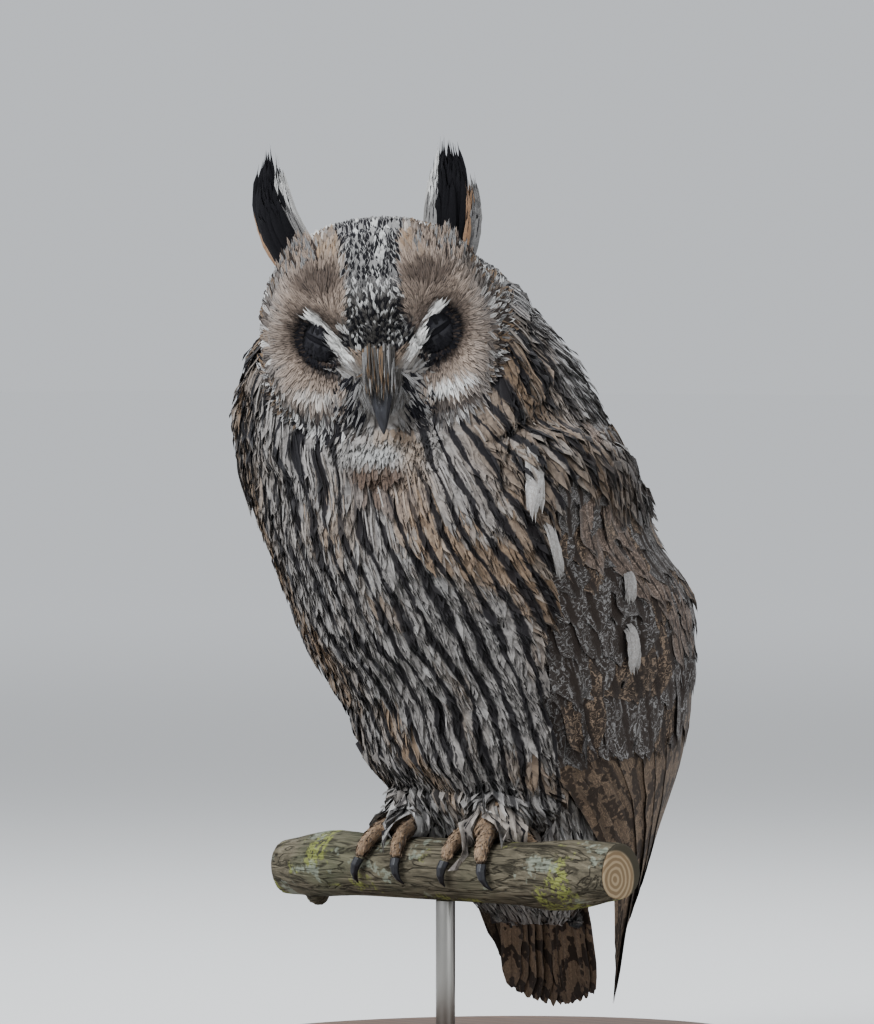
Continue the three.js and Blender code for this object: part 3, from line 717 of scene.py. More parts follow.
def read_skin(skin):
    """Keeps the skin's surface for laying feathers on, with the place of each face on its unwrap."""
    mesh = skin.data
    points = mesh_points(mesh)
    corners = np.empty(len(mesh.loops), np.int32)
    mesh.loops.foreach_get("vertex_index", corners)
    uv = np.empty(len(mesh.loops) * 2, np.float32)
    mesh.uv_layers["OFBake"].data.foreach_get("uv", uv)
    uv = uv.reshape(-1, 2)
    faces = [tuple(p.vertices) for p in mesh.polygons]
    starts = np.array([p.loop_start for p in mesh.polygons])
    counts = np.array([p.loop_total for p in mesh.polygons])
    made["tree"] = BVHTree.FromPolygons([tuple(p) for p in points], faces)
    made["face_uv"] = np.add.reduceat(uv, starts, axis=0) / counts[:, None]
    made["normals"] = point_vectors(mesh, "normal")
    made["face_corner"] = corners[starts]


def nearest(points):
    """The nearest places on the skin, the smooth normals there and their places on its unwrap."""
    tree, normals, corner = made["tree"], made["normals"], made["face_corner"]
    found = [tree.find_nearest(Vector(p)) for p in points]
    face = np.array([f[2] for f in found])
    return np.array([f[0] for f in found]), unit(normals[corner[face]]), made["face_uv"][face]


# Markings of the whole bird.


def chances(count, seed, rounds):
    """Some rounds of random numbers, one number for each place."""
    return [np.random.default_rng(seed + k).random(count) for k in range(rounds)]


def blend(under, over, share):
    """Colours on their way from one to another. Either may be one colour for all places."""
    share = share[:, None]
    return under * (1 - share) + over * share


def either(mask, yes, no):
    """One colour where the mask holds, and another where it doesn't."""
    return np.where(mask[:, None], yes, no)


# Middle and reach of the two patches of the throat, in the head's axes.
THROAT_PATCHES = (((-3, -38, -42.5), (10, 24, 4.0)), ((-5, -38, -50.5), (10, 24, 4.6)))


def throat(points):
    """The white patch under the bill, and the brown one below it, whose brown is darkened with painted shadow
    under the white patch.
    """
    local = to_head(points)
    return [
        np.exp(-(np.linalg.norm((local - np.array(place)) / np.array(reach), axis=1) ** 2))
        for place, reach in THROAT_PATCHES
    ]


def markings(points, seed):
    """Colours, marks, streak coordinates and mood of the feathers at places on the body."""
    white, cream, buff, tan = (tint(name) for name in ("white", "cream", "buff", "tan"))
    speckle, tone, start = chances(len(points), seed + 1, 3)
    angle = body_angle(points)
    z = points[:, 2]
    front = 1 - smooth(np.abs(angle), 88, 118)
    low = 1 - smooth(z, 96, 150)
    neck = smooth(z, 258, 292)
    warm = haze(points, 5, 34)
    bib, chin = throat(points)
    ground = blend(cream, buff, np.clip(0.1 + 0.75 * smooth(warm, 0.45, 0.95), 0, 1))
    ground = blend(ground, buff * 0.55, smooth(np.abs(angle - 12), 30, 62) * (1 - low) * 0.75)
    ground = blend(ground, white * 0.62, np.clip(low * 0.75 + 0.25 * (speckle > 0.8), 0, 1))
    # The brown patch: a real brown, darkened further with painted shadow under the white patch.
    ground = blend(ground, tan * np.array((0.36, 0.32, 0.3)), np.clip(chin * 2.0, 0, 1))
    ground = blend(ground, white * 0.5, np.clip(bib * 1.3, 0, 1))
    # The back, paler at the nape.
    back = blend(cream * 0.72, buff * 0.8, smooth(warm, 0.5, 1.0) * 0.8)
    back = blend(back, cream * 1.15, neck * 0.8)
    ground = blend(back, ground, front)
    dark = blend(tint("brown"), tint("black") * 1.2, np.clip(front * 0.9 + neck * 0.5, 0, 1))
    plain = 1 - np.clip(chin * 1.6 + bib * 1.6, 0, 1)
    shaft = np.where(low > 0.5, 0.13, 0.16 - 0.10 * front)
    marks = vectors(shaft, 0.06 + 0.20 * front * (1 - low), 0.85 * (1 - front) * (1 - neck * 0.7))
    streak = front * (1 - 0.75 * low) + (1 - front) * (0.45 + 0.45 * neck)
    coat = vectors(*streak_place(points), streak * 0.97 * plain)
    mood = vectors(0.06 + 0.16 * (1 - front), 0.88 + 0.24 * tone, start)
    return {"ground": ground, "dark": dark, "marks": marks, "coat": coat, "mood": mood}


def outline_share(x, z):
    """How far out a place of the face is, 1 at the rim of the disc."""
    tall = np.where(z > 0, SKULL[1], SKULL[2])
    return (np.abs(x / SKULL[0]) ** 2.25 + np.abs(z / tall) ** 2.25) ** (1 / 2.25)


def brow_place(x, z):
    """Distance from the line of the brow, and the share of the way up it."""
    low, high = np.array(BROW[0]), np.array(BROW[1])
    span = high - low
    s = ((np.abs(x) - low[0]) * span[0] + (z - low[1]) * span[1]) / span.dot(span)
    t = np.clip(s, 0, 1)
    return np.hypot(np.abs(x) - low[0] - t * span[0], z - low[1] - t * span[1]), s


def wedge_reach(z):
    """How far from the middle the speckled wedge between the brows reaches."""
    return np.minimum(13.5, BROW[0][0] + (z - BROW[0][1]) * 0.69 - 1.5)


def under_brow(ax, z):
    """How far places lie on the outer and lower side of the brow's line."""
    return (ax - BROW[0][0]) * 0.823 - (z - BROW[0][1]) * 0.569


def eye_patch(ax, z):
    """1 on the rim of the black round an eye, which is drawn out along the brow."""
    dx, dz = ax - EYE[0], z - EYE[2] + 2.0
    along, over = dx * 0.62 + dz * 0.78, -dx * 0.78 + dz * 0.62
    return np.hypot(along / 13.5, over / 8.8)


def crown_ground(y, beside, chance):
    """Crown and nape: mixed grounds, and warm sides."""
    cream, buff = tint("cream"), tint("buff")
    crown = blend(cream * 0.95, buff * 0.9, chance[0] < 0.3)
    crown = blend(crown, tint("white") * 0.8, chance[0] > 0.72)
    crown = blend(crown, cream * 0.55, smooth(y, 0, 30) * 0.6)
    return blend(crown, blend(buff * 1.25, cream, chance[1] * 0.6), beside * 0.9)


def cheek_line(ax, z, height, half, fade):
    """A slanting line across the cheek."""
    line = np.exp(-(((z - height - (ax - 27) * 0.15) / half) ** 2))
    return line * smooth(ax, 15, 20) * (1 - smooth(ax, *fade))


def soft_spot(x, z, place, reach):
    return np.exp(-(((x - place[0]) / reach[0]) ** 2) - ((z - place[1]) / reach[1]) ** 2)


def disc_ground(x, z, warm, chance):
    """The facial disc without its brows and the black round its eyes."""
    white, black, grey, brown = (tint(name) for name in ("white", "black", "grey", "brown"))
    tan, buff, cream = tint("tan"), tint("buff"), tint("cream")
    ax = np.abs(x)
    out = outline_share(x, z)
    disc = blend(tan, cream * 0.9, smooth(out, 0.66, 0.92) * 0.7)
    disc = blend(disc, tan * 0.62, smooth(warm, 0.35, 0.95) * 0.55)
    inner = (1 - smooth(eye_patch(ax, z), 1.0, 1.5)) * smooth(z, -20, -6)
    disc = blend(disc, brown * 1.5, inner * 0.75)
    disc = blend(disc, blend(grey * 0.7, cream * 1.2, chance[1]), smooth(-z, 19, 27) * 0.9)
    disc = blend(disc, brown, smooth(-z, 28, 36) * (chance[4] < 0.45) * 0.85)
    stripe = cheek_line(ax, z, -17.5, 2.0, (31, 38))
    disc = blend(disc, white, np.clip(stripe * np.where(x > 0, 1.2, 0.5), 0, 1))
    under = cheek_line(ax, z, -24, 2.4, (34, 40))
    disc = blend(disc, brown, np.clip(under * 1.2, 0, 1) * 0.85)
    smudge = 1 - smooth(np.hypot((ax - 22) / 9, (z - 20.5) / 6), 0.4, 1.3)
    disc = blend(disc, brown * 1.4, smudge * 0.8)
    upper = smooth(z, 26, 33) * smooth(0.97 - out, 0, 0.1)
    disc = blend(disc, blend(buff * 1.15, cream, chance[1] * 0.6), upper * 0.85)
    # The rim, mixed of pale, buff and brown feathers.
    rim = blend(cream, white * 0.9, chance[2] > 0.8)
    rim = blend(rim, buff * 0.75, (chance[2] < 0.62) & (chance[2] > 0.40))
    rim = blend(rim, brown, chance[2] < 0.44)
    rim = rim * (1 - 0.35 * smooth(-z, 10, 30))[:, None]
    disc = blend(disc, rim, smooth(out, 0.88, 0.94) * 0.9)
    # Black and white spots on the lower rim, boldest on the bird's right.
    spotted = soft_spot(x, z, (-31, -33), (16, 8)) + 0.5 * soft_spot(x, z, (32, -33), (12, 6))
    spots = blend(black * 1.5, white * 0.8, chance[3] > 0.52)
    disc = blend(disc, spots, np.clip(spotted * 1.5, 0, 1) * (chance[5] < 0.8) * 0.92)
    # Dark rays beside the bill.
    spread = np.arctan2(-(z + 14), ax - 5)
    rays = smooth(np.sin(spread * 17 + warm * 3), -0.2, 0.5) * smooth(np.hypot(ax - 5, z + 14), 5, 9)
    ray_zone = smooth(ax, 6, 10) * (1 - smooth(ax, 20, 26)) * smooth(-z, 15, 21)
    ray_zone = ray_zone * (1 - smooth(-z, 38, 43))
    return blend(disc, black * 1.4, rays * ray_zone * 0.9)


def face_markings(local, seed):
    """The same for places on the head, in its own axes."""
    white, black, grey, cream = (tint(name) for name in ("white", "black", "grey", "cream"))
    x, y, z = local.T
    ax = np.abs(x)
    chance = chances(len(local), seed, 6)
    facing = smooth(-y, 2, 14)
    disc = disc_ground(x, z, haze(local, 8, 22), chance)
    patch = (1 - smooth(eye_patch(ax, z), 0.82, 1.08)) * smooth(under_brow(ax, z), -3.0, -1.0)
    disc = blend(disc, black, patch)
    # The wedge between the brows, finely speckled below and boldly above.
    reach = wedge_reach(z)
    wedge = (1 - smooth(ax, reach - 0.8, reach + 1.6)) * smooth(z, -9.5, -5.5)
    bold = smooth(z, 10, 26)
    specks = blend(grey * 0.42, cream * 1.1, bold)
    specks = blend(specks, white * 0.8, chance[3] > 0.86 - 0.2 * bold)
    specks = blend(specks, black * 1.5, (chance[3] < 0.40) * (1 - bold))
    specks = blend(specks, cream * 0.7, ((chance[3] > 0.6) & (chance[3] < 0.72)) * 0.8)
    disc = blend(disc, specks, wedge)
    # The bristly triangle round the bill, the warm skin over its root, the chin and the brows.
    slope = (z + 14) * 0.62
    bristly = (1 - smooth(ax, 14.5 + slope, 17.5 + slope)) * smooth(-z, 9, 13) * (1 - smooth(-z, 34, 38))
    disc = blend(disc, blend(grey * 0.8, cream, (chance[1] > 0.6) * 0.8), bristly)
    disc = blend(disc, tint("buff") * 0.62, soft_spot(x, z, (0, -11.5), (7.5, 3.2)) * 0.9)
    chin = (1 - smooth(ax, 8, 12)) * smooth(-z, 37, 40)
    disc = blend(disc, white * 0.5, chin)
    off_brow, up_brow = brow_place(x, z)
    brow = (1 - smooth(off_brow, 1.5, 2.5)) * smooth(up_brow, -0.03, 0.03) * (1 - smooth(up_brow, 0.76, 0.84))
    disc = blend(disc, white * 1.12, brow)
    # Black drops run down the middle of the crown.
    beside = smooth(ax, 12.5, 15.5) * smooth(z, 22, 33) * (1 - smooth(ax, 34, 40)) * (1 - smooth(y, 4, 18))
    plain = np.maximum.reduce([brow, patch, chin, bristly * 0.8])
    middle = (1 - smooth(ax, 12.5, 15)) * smooth(z, 16, 26)
    shaft = 0.10 * facing * (1 - plain) + (1 - facing) * 0.30
    shaft = np.where(middle > 0.5, 0.62 * (chance[4] > 0.25), shaft * (1 - beside * 0.8))
    fine = 0.22 * (1 - facing) * (1 - beside) + 0.10 * facing * (1 - plain)
    return {
        "ground": blend(crown_ground(y, beside, chance), disc, facing),
        "dark": np.tile(black * 1.2, (len(local), 1)),
        "marks": vectors(shaft, 0, fine),
        "coat": vectors(x * 0.1 + 20, z * 0.03, 0),
        "mood": vectors(0.2 * (1 - facing) + 0.25 * middle, 0.88 + 0.24 * chance[4], chance[5]),
    }


def face_flow(local):
    """The way the feathers of the head point, in its own axes."""
    x, y, z = local.T
    side = np.where(x >= 0, 1.0, -1.0)
    ax = np.abs(x)
    radial = unit(local - vectors(EYE[0] * side, EYE[1], EYE[2]))
    off_brow, up_brow = brow_place(x, z)
    near_brow = (1 - smooth(off_brow, 4, 8)) * smooth(up_brow, -0.35, -0.15)
    flow = blend(radial, unit(vectors(side * 0.62, 0, 0.78)), near_brow)
    middle = (1 - smooth(ax, 7, 13)) * smooth(z, -9, -4)
    flow = blend(flow, np.array((0, 0.3, 1.0)), middle)
    under = (1 - smooth(ax, 12, 20)) * smooth(-z, 9, 14) * (1 - near_brow)
    flow = blend(flow, unit(vectors(x * 0.05, -0.35, -1.0)), under)
    over = unit(vectors(x * 0.004, 1.0, 0.75 - smooth(y, -12, 22) * 1.9))
    top = smooth(z, 27, 38) * smooth(y, -34, -22)
    return unit(blend(flow, over, np.maximum(smooth(y, -16, -4), top)))


# Feathers as joined vanes.


def lay(roots, aims, lengths, steps, rise, bend=None):
    """
    Centre lines that start at the roots and follow the skin, with the way out and the way on at each point.
    They rise from one height to another, and bend tells the way that the coat lies at a place.
    """
    count = len(roots)
    spine, out, aim = (np.empty((count, steps, 3)) for _ in range(3))
    here, way = roots.copy(), aims.copy()
    root_uv = None
    for k in range(steps):
        hit, normal, uv = nearest(here)
        root_uv = uv if k == 0 else root_uv
        way = way if bend is None else unit(way + bend(hit) * 0.35)
        way = unit(way - normal * np.sum(way * normal, 1, keepdims=True))
        spine[:, k], out[:, k], aim[:, k] = hit, normal, way
        here = hit + way * (lengths / (steps - 1))[:, None]
    share = np.linspace(0, 1, steps)
    low, high = rise
    lift = low[:, None] + (high - low)[:, None] * share[None, :] ** 0.8
    return spine + out * lift[:, :, None], out, aim, root_uv


def head_laid(spine, out, aim):
    """Centre lines that are given in the head's axes, in the form that vanes takes."""
    world = from_head(spine)
    return world, out @ HEAD_TURN.T, aim @ HEAD_TURN.T, nearest(world[:, 0])[2]


def vanes(
    name, laid, half, values, seed,
    columns=5, cup=0.18, ragged=0.07, root=0.45, widest=0.6, tip=0.2, comb=0.0, point=0.1,
):
    """
    A mesh with one vane along each centre line. The values are those of the markings, half is the half width
    at the widest place along the line, and root and tip are shares of it. The rest shapes the barbs: the cup
    of the vane, its ragged, combed and pointed end.
    """
    spine, out, aim, root_uv = laid
    count, steps, _ = spine.shape
    rng = np.random.default_rng(seed)
    across = np.linspace(-1, 1, columns)
    share = np.linspace(0, 1, steps)
    taper = np.clip((share - widest) / (1 - widest), 0, 1)
    profile = root + (1 - root) * np.clip(share / (widest * 0.8), 0, 1) ** 0.8
    profile = profile * np.sqrt(1 - taper**2 * (1 - tip**2))
    width = half[:, None] * profile[None, :]
    side = unit(np.cross(aim, out))
    length = np.linalg.norm(np.diff(spine, axis=1), axis=2).sum(1)[:, None, None]
    late = share[None, :, None] ** 4
    fray = rng.normal(0, ragged, (count, 1, columns)) * length * late
    fray = fray - (across**2 * point)[None, None, :] * length * share[None, :, None] ** 3
    # Every second barb group stays short and low, so that the tip is a soft comb.
    tooth = (np.arange(columns) % 2) * comb
    fray = fray - tooth * length * rng.uniform(0.5, 1.5, (count, 1, columns)) * late
    sink = tooth * 3.0 * late
    shake = 1 + rng.normal(0, 0.07, (count, steps, columns))
    twist = rng.normal(0, 0.10, (count, 1, 1)) * across[None, None, :]
    aside = across[None, None, :] * width[:, :, None] * shake
    above = (twist - cup * across[None, None, :] ** 2) * width[:, :, None] - sink
    points = spine[:, :, None, :] + side[:, :, None, :] * aside[..., None]
    points = points + out[:, :, None, :] * above[..., None] + aim[:, :, None, :] * fray[..., None]
    grid = np.arange(steps * columns).reshape(steps, columns)
    quad = np.stack([grid[:-1, :-1], grid[:-1, 1:], grid[1:, 1:], grid[1:, :-1]], -1).reshape(-1, 4)
    faces = (quad[None] + (np.arange(count) * steps * columns)[:, None, None]).reshape(-1, 4)
    flat = np.stack(np.meshgrid(across / 2 + 0.5, share, indexing="xy"), -1).reshape(1, -1, 2)
    vane_uv = np.tile(flat, (count, 1, 1)).reshape(-1, 2)
    bake_uv = (root_uv[:, None, :] + (flat - 0.5) * 0.003).reshape(-1, 2)
    per_point = {}
    for key, value in values.items():
        wide = np.repeat(value[:, None, :], steps * columns, 1)
        if key == "coat" and np.any(value[:, 2] > 0):
            wide[..., 0], wide[..., 1] = streak_place(points.reshape(count, -1, 3))
        per_point[key] = wide.reshape(-1, value.shape[1])
    return joined_mesh(name, points.reshape(-1, 3), faces, {"OFBake": bake_uv, "vane": vane_uv}, per_point)


def feathers(name, laid, half, values, seed, mask=None, slot="plumage", nodes=(), **shape):
    """Vanes of the plumage as a piece of their own. A mask picks those that belong to it."""
    if mask is not None:
        laid = tuple(part[mask] for part in laid)
        half = half[mask]
        values = {key: value[mask] for key, value in values.items()}
    dress(vanes(name, laid, half, values, seed, **shape), made["plumage"], slot, *nodes)


def body_rows(z_from, z_to, row_gap, gap, seed):
    """Places in staggered rows round the body."""
    rng = np.random.default_rng(seed)
    places = []
    z = z_from
    while z > z_to:
        ring = around(BODY, z, np.linspace(0, 2 * np.pi, 181), 0)
        girth = np.linalg.norm(np.diff(ring, axis=0), axis=1).sum()
        count = max(8, int(girth / gap))
        angle = np.arange(count) + 0.5 * (len(places) % 2) + rng.uniform(-0.3, 0.3, count)
        height = z + rng.uniform(-0.35, 0.35, count) * row_gap
        places.append(around(BODY, height, angle / count * 2 * np.pi, 0))
        z -= row_gap
    return np.concatenate(places)


def coat_roots(places, grow, skull):
    """
    Roots on the skin near the places that head, face and wings leave free, and how far off the wing each is.
    The face may grow by a share, and skull is half the head's width, depth and height.
    """
    hit, _, _ = nearest(places)
    roots = hit[np.linalg.norm(hit - places, axis=1) < 8.5]
    local, away = to_head(roots), off_wing(roots)
    hidden = in_face(local, grow) | (np.linalg.norm(local / np.array(skull), axis=1) < 1)
    hidden = hidden | ((away < -4) & (roots[:, 2] > WINGS_FREE))
    return roots[~hidden], away[~hidden]


def body_flow(points):
    """Down the leaning body, and on the breast a little towards the bird's left."""
    z = points[:, 2]
    angle = body_angle(points) * RAD
    lean = [-(curve(BODY, k, z + 4) - curve(BODY, k, z - 4)) / 8 for k in (1, 2)]
    turn = 0.13 * smooth(np.cos(angle), -0.2, 0.6)
    return unit(vectors(lean[0] + turn * np.cos(angle), lean[1] + turn * np.sin(angle), -1.0))


def off_wing(points):
    """How far places lie outside the folded wing, in degrees round the body; less than 0 is under it."""
    angle = np.abs(body_angle(points))
    z = points[:, 2]
    side = np.maximum(curve(WING_EDGES, 1, z) - angle, angle - curve(WING_EDGES, 2, z))
    return np.maximum(side, (z - WING_EDGES[0, 0]) * 1.2)


def in_face(local, grow=0.0):
    """True for places that the facial disc covers."""
    x, y, z = local.T
    return (outline_share(x, z) < 1.0 + grow) & (y < 6) & (z > -50)


def build_body_feathers():
    """Feathers of neck, breast, belly and back."""
    roots, away = coat_roots(body_rows(336, 60, row_gap=3.3, gap=3.5, seed=11), 0.0, (44, 42, 44))
    z = roots[:, 2]
    rng = np.random.default_rng(12)
    angle = body_angle(roots)
    front = 1 - smooth(np.abs(angle), 84, 114)
    neck = smooth(z, 262, 300)
    s = sizes()
    length = s.back_feather * (1 - front) + s.breast_feather * front
    length = (length * (1 - neck) + s.neck_feather * neck) / MM
    length = length * (0.72 + 0.28 * smooth(z, 70, 130)) * rng.uniform(0.82, 1.18, len(z))
    length = length * (1 + 0.6 * (1 - front) * (1 - smooth(np.abs(z - 274), 8, 16)))
    length = length * (1 - 0.62 * np.clip(sum(throat(roots)) * 1.5, 0, 1))
    half = length * (0.112 + 0.035 * (1 - front)) * rng.uniform(0.8, 1.2, len(z))
    aims = unit(body_flow(roots) + rng.normal(0, 0.10, (len(z), 3)))
    high = (4.4 + 0.8 * front) * (0.55 + 0.45 * smooth(z, 60, 120)) + rng.normal(0, 0.6, len(z))
    # Those round the folded wing lie over its edges.
    behind = np.maximum(smooth(np.abs(angle), 88, 104) * smooth(z, 190, 215), smooth(z, 262, 270))
    high = high + 4.4 * (1 - smooth(away, 6, 26)) * behind
    high = high + 2.6 * (1 - smooth(away, 2, 14)) * (1 - behind) * smooth(z, 130, 160)
    laid = lay(roots, aims, length, 7, (np.full(len(z), -0.6), high), body_flow)
    values = markings(roots, 30)
    for part, of_part in (("breast", front > 0.5), ("back", front <= 0.5)):
        for word, of_side in (("left", angle >= 0), ("right", angle < 0)):
            name = f"{part}_feathers_{word}"
            feathers(name, laid, half, values, 31, of_part & of_side, columns=7, ragged=0.05, comb=0.13)


def build_loose_barbs():
    """Single soft barbs that break the edges of the body feathers."""
    roots, _ = coat_roots(body_rows(330, 66, row_gap=2.9, gap=3.3, seed=21), 0.03, (46, 44, 46))
    rng = np.random.default_rng(22)
    count = len(roots)
    z = roots[:, 2]
    aims = unit(body_flow(roots) + rng.normal(0, 0.16, (count, 3)))
    length = rng.uniform(13, 21, count) * (0.7 + 0.3 * smooth(z, 70, 130))
    length = length * (1 - 0.65 * np.clip(sum(throat(roots)) * 1.5, 0, 1))
    high = 5.0 * (0.6 + 0.4 * smooth(z, 60, 120)) + rng.normal(0.5, 0.6, count)
    laid = lay(roots, aims, length, 5, (np.full(count, 1.4), high), body_flow)
    values = markings(roots, 23)
    values["marks"] = values["marks"] * 0
    values["mood"][:, 1] = rng.uniform(0.82, 1.2, count)
    half = rng.uniform(0.30, 0.5, count)
    feathers("loose_barbs", laid, half, values, 24, columns=3, root=0.9, widest=0.3, tip=0.1)


# Feathers of the head.


def head_roots(count):
    """Places all over the head, evenly spread, in its own axes."""
    k = np.arange(count) + 0.5
    rise = 1 - 2 * k / count
    turn = k * math.pi * (1 + 5**0.5)
    flat = np.sqrt(1 - rise**2)
    found = []
    for way in vectors(flat * np.cos(turn), rise, flat * np.sin(turn)):
        hit = made["tree"].ray_cast(Vector(from_head(way * 90.0)), Vector(HEAD_TURN @ -way), 70)
        if hit[0] is not None:
            found.append(hit[0])
    return to_head(np.array(found))


def head_surface(x, z):
    """Places on the face at given distances across and up it, in the head's own axes."""
    inwards = Vector(HEAD_TURN @ (0, 1, 0))
    found = [made["tree"].ray_cast(Vector(from_head(p)), inwards)[0] for p in vectors(x, -75.0, z)]
    return to_head(np.array(found))


def build_head_feathers():
    """Feathers of the facial disc, its brows and rim, and of the crown."""
    local = head_roots(17000)
    x, y, z = local.T
    to_eye = np.linalg.norm(local - EYE * vectors(np.where(x < 0, -1.0, 1.0), 1.0, 1.0), axis=1)
    out = outline_share(x, z)
    facing = (y < -6) & (z > -52)
    rng = np.random.default_rng(51)
    on_head = np.linalg.norm(local / np.array((50, 48, 51)), axis=1) < 1.06
    crowded = facing | (rng.random(len(x)) < 0.36)
    mouth = (np.abs(x) < 4.5) & (z < -10) & (z > -36) & facing
    ok = on_head & crowded & ~((to_eye < EYE_RADIUS + 1.2) & (y < EYE[1])) & ~mouth
    local, facing, out, to_eye = local[ok], facing[ok], out[ok], to_eye[ok]
    x, y, z = local.T
    nape = smooth(y, 5, 30)
    off_brow, up_brow = brow_place(x, z)
    brow = (off_brow < 2.4) & (up_brow > -0.03) & (up_brow < 0.78) & facing
    wedge = (np.abs(x) < wedge_reach(z)) & (z > -9) & facing
    rim = facing & (out > 0.9)
    s = sizes()
    length = np.where(facing, s.face_feather, s.crown_feather) / MM * (1 + 1.0 * nape)
    length = np.where(facing, length * (0.42 + 0.58 * smooth(to_eye, 11, 24)), length)
    length = np.where(wedge, 3.2 + 4.6 * smooth(z, 4, 30), length)
    length = np.where(brow, 7.5, length)
    length = np.where(rim, 6.5, length) * rng.uniform(0.8, 1.2, len(x))
    half = np.where(facing, 0.72, 1.75) * (1 + 0.7 * nape) * rng.uniform(0.8, 1.25, len(x))
    half = np.where(wedge, 0.55 + 0.75 * smooth(z, 8, 26), half)
    half = np.where(rim, 0.95, half)
    half = np.where(brow, 0.55, half)
    aims = unit(face_flow(local) + rng.normal(0, 0.08, local.shape)) @ HEAD_TURN.T
    high = np.where(facing, 1.2, 2.9) + np.where(brow, 1.3, 0) + np.where(rim, 1.5, 0)
    high = np.maximum(high + rng.normal(0, 0.25, len(x)), 0.4)
    laid = lay(from_head(local), aims, length, 5, (np.full(len(x), -0.3), high))
    values = face_markings(local, 60)
    feathers("face_feathers", laid, half, values, 61, facing, columns=3, ragged=0.08, root=0.6)
    feathers("crown_feathers", laid, half, values, 61, ~facing, columns=5, ragged=0.08, root=0.6)


def fixed_values(count, ground, dark, marks, fringe, seed):
    """The values of the markings for a group of feathers, told by name."""
    rng = np.random.default_rng(seed)
    return {
        "ground": np.broadcast_to(ground, (count, 3)) * rng.uniform(0.9, 1.1, (count, 1)),
        "dark": np.tile(dark, (count, 1)),
        "marks": np.array(np.broadcast_to(marks, (count, 3)), float),
        "coat": np.zeros((count, 3)),
        "mood": vectors(np.broadcast_to(fringe, count), rng.uniform(0.88, 1.12, count), rng.random(count)),
    }


def both_sides(count):
    """The bird's left and right by turns."""
    return np.where(np.arange(count) % 2 == 0, 1.0, -1.0)


FORWARD_BEND = (0, 0.45, -0.35)
# Bristles: name, number, ranges of the places across and up the face, of their length and of the three parts
# of their aim, and the way they bend.
BRISTLES = (
    ("over", 620, (0.1, 6.5), (-9, 0), (11, 17), ((-0.22, 0.02), (-1.7, -1.4), (-0.8, -0.4)), (0, 0.35, -1)),
    ("pale", 620, (5, 12.5), (-22, -10), (9, 14), ((-0.75, -0.3), (-0.7, -0.4), (-1.2, -0.9)), FORWARD_BEND),
    ("dark", 340, (7, 19), (-31, -13), (8, 15), ((0.35, 1.0), (-0.4, -0.15), (-1.0, -0.5)), FORWARD_BEND),
)


def build_bristles():
    """Stiff feathers at both sides of the bill's root: pale ones arch over it, dark ones stand outwards."""
    rng = np.random.default_rng(71)
    cream, grey, buff, black = (tint(name) for name in ("cream", "grey", "buff", "black"))
    # The share of the darker ones, and the two colours.
    tones = {
        "over": (0.75, cream * 0.8, grey * 0.3),
        "pale": (0.55, cream * 0.8, grey * 0.5),
        "dark": (0.66, cream * 0.9, black * 1.5),
    }
    front = np.array((0.0, -1.0, 0.25))
    share = np.linspace(0, 1, 6)[None, :, None]
    parts = []
    for name, count, across, up, length, aim, bend in BRISTLES:
        side = both_sides(count)
        x = side * rng.uniform(*across, count)
        z = rng.uniform(*up, count)
        if name == "over":
            z = z - 0.8 * np.abs(np.abs(x) - 3.2)
        local = head_surface(x, z)[:, None]
        aside, ahead, above = (rng.uniform(*part, count) for part in aim)
        aims = unit(vectors(side * aside, ahead, above))[:, None]
        long = (rng.uniform(*length, count) * (1 - 0.035 * np.abs(x)))[:, None, None]
        spine = local + aims * long * share + np.array(bend) * long * share**2 * 0.7
        way = unit(aims + np.array(bend) * share * 1.4)
        laid = head_laid(spine, square_to(way, front), way)
        chance = rng.random(count)
        darker, bright, deep = tones[name]
        ground = either(chance > darker, bright, deep)
        if name == "over":
            ground = either(chance < 0.2, buff * 0.6, ground)
        values = fixed_values(count, ground, black, (0.1, 0, 0), 0, 72)
        half = rng.uniform(0.3, 0.5, count)
        shape = {"columns": 3, "ragged": 0.05, "root": 0.5, "widest": 0.3, "tip": 0.05}
        parts.append(vanes("bristles_" + name, laid, half, values, 73, **shape))
    dress(join(parts, "bill_bristles"), made["plumage"], "plumage")


def build_throat():
    """Small feathers of the throat, which turns its white patch and its brown one, darkened with painted
    shadow, to the front.
    """
    rng = np.random.default_rng(74)
    count = 1100
    x, z = rng.uniform(-22, 20, count), rng.uniform(-58, -37, count)
    roots = from_head(head_surface(x, z))
    aims = unit(vectors(0.012 * x, -0.2, -1.0) + rng.normal(0, 0.12, (count, 3)))
    rise = (np.full(count, -0.2), rng.uniform(1.6, 3.0, count))
    laid = lay(roots, aims @ HEAD_TURN.T, rng.uniform(6.0, 9.0, count), 5, rise)
    values = markings(roots, 75)
    outer = smooth(np.abs(x + 2), 10, 15)
    values["marks"] = values["marks"] * outer[:, None]
    values["coat"][:, 2] *= outer
    half = rng.uniform(0.6, 1.0, count)
    feathers("throat_feathers", laid, half, values, 76, columns=5, comb=0.1, root=0.6)


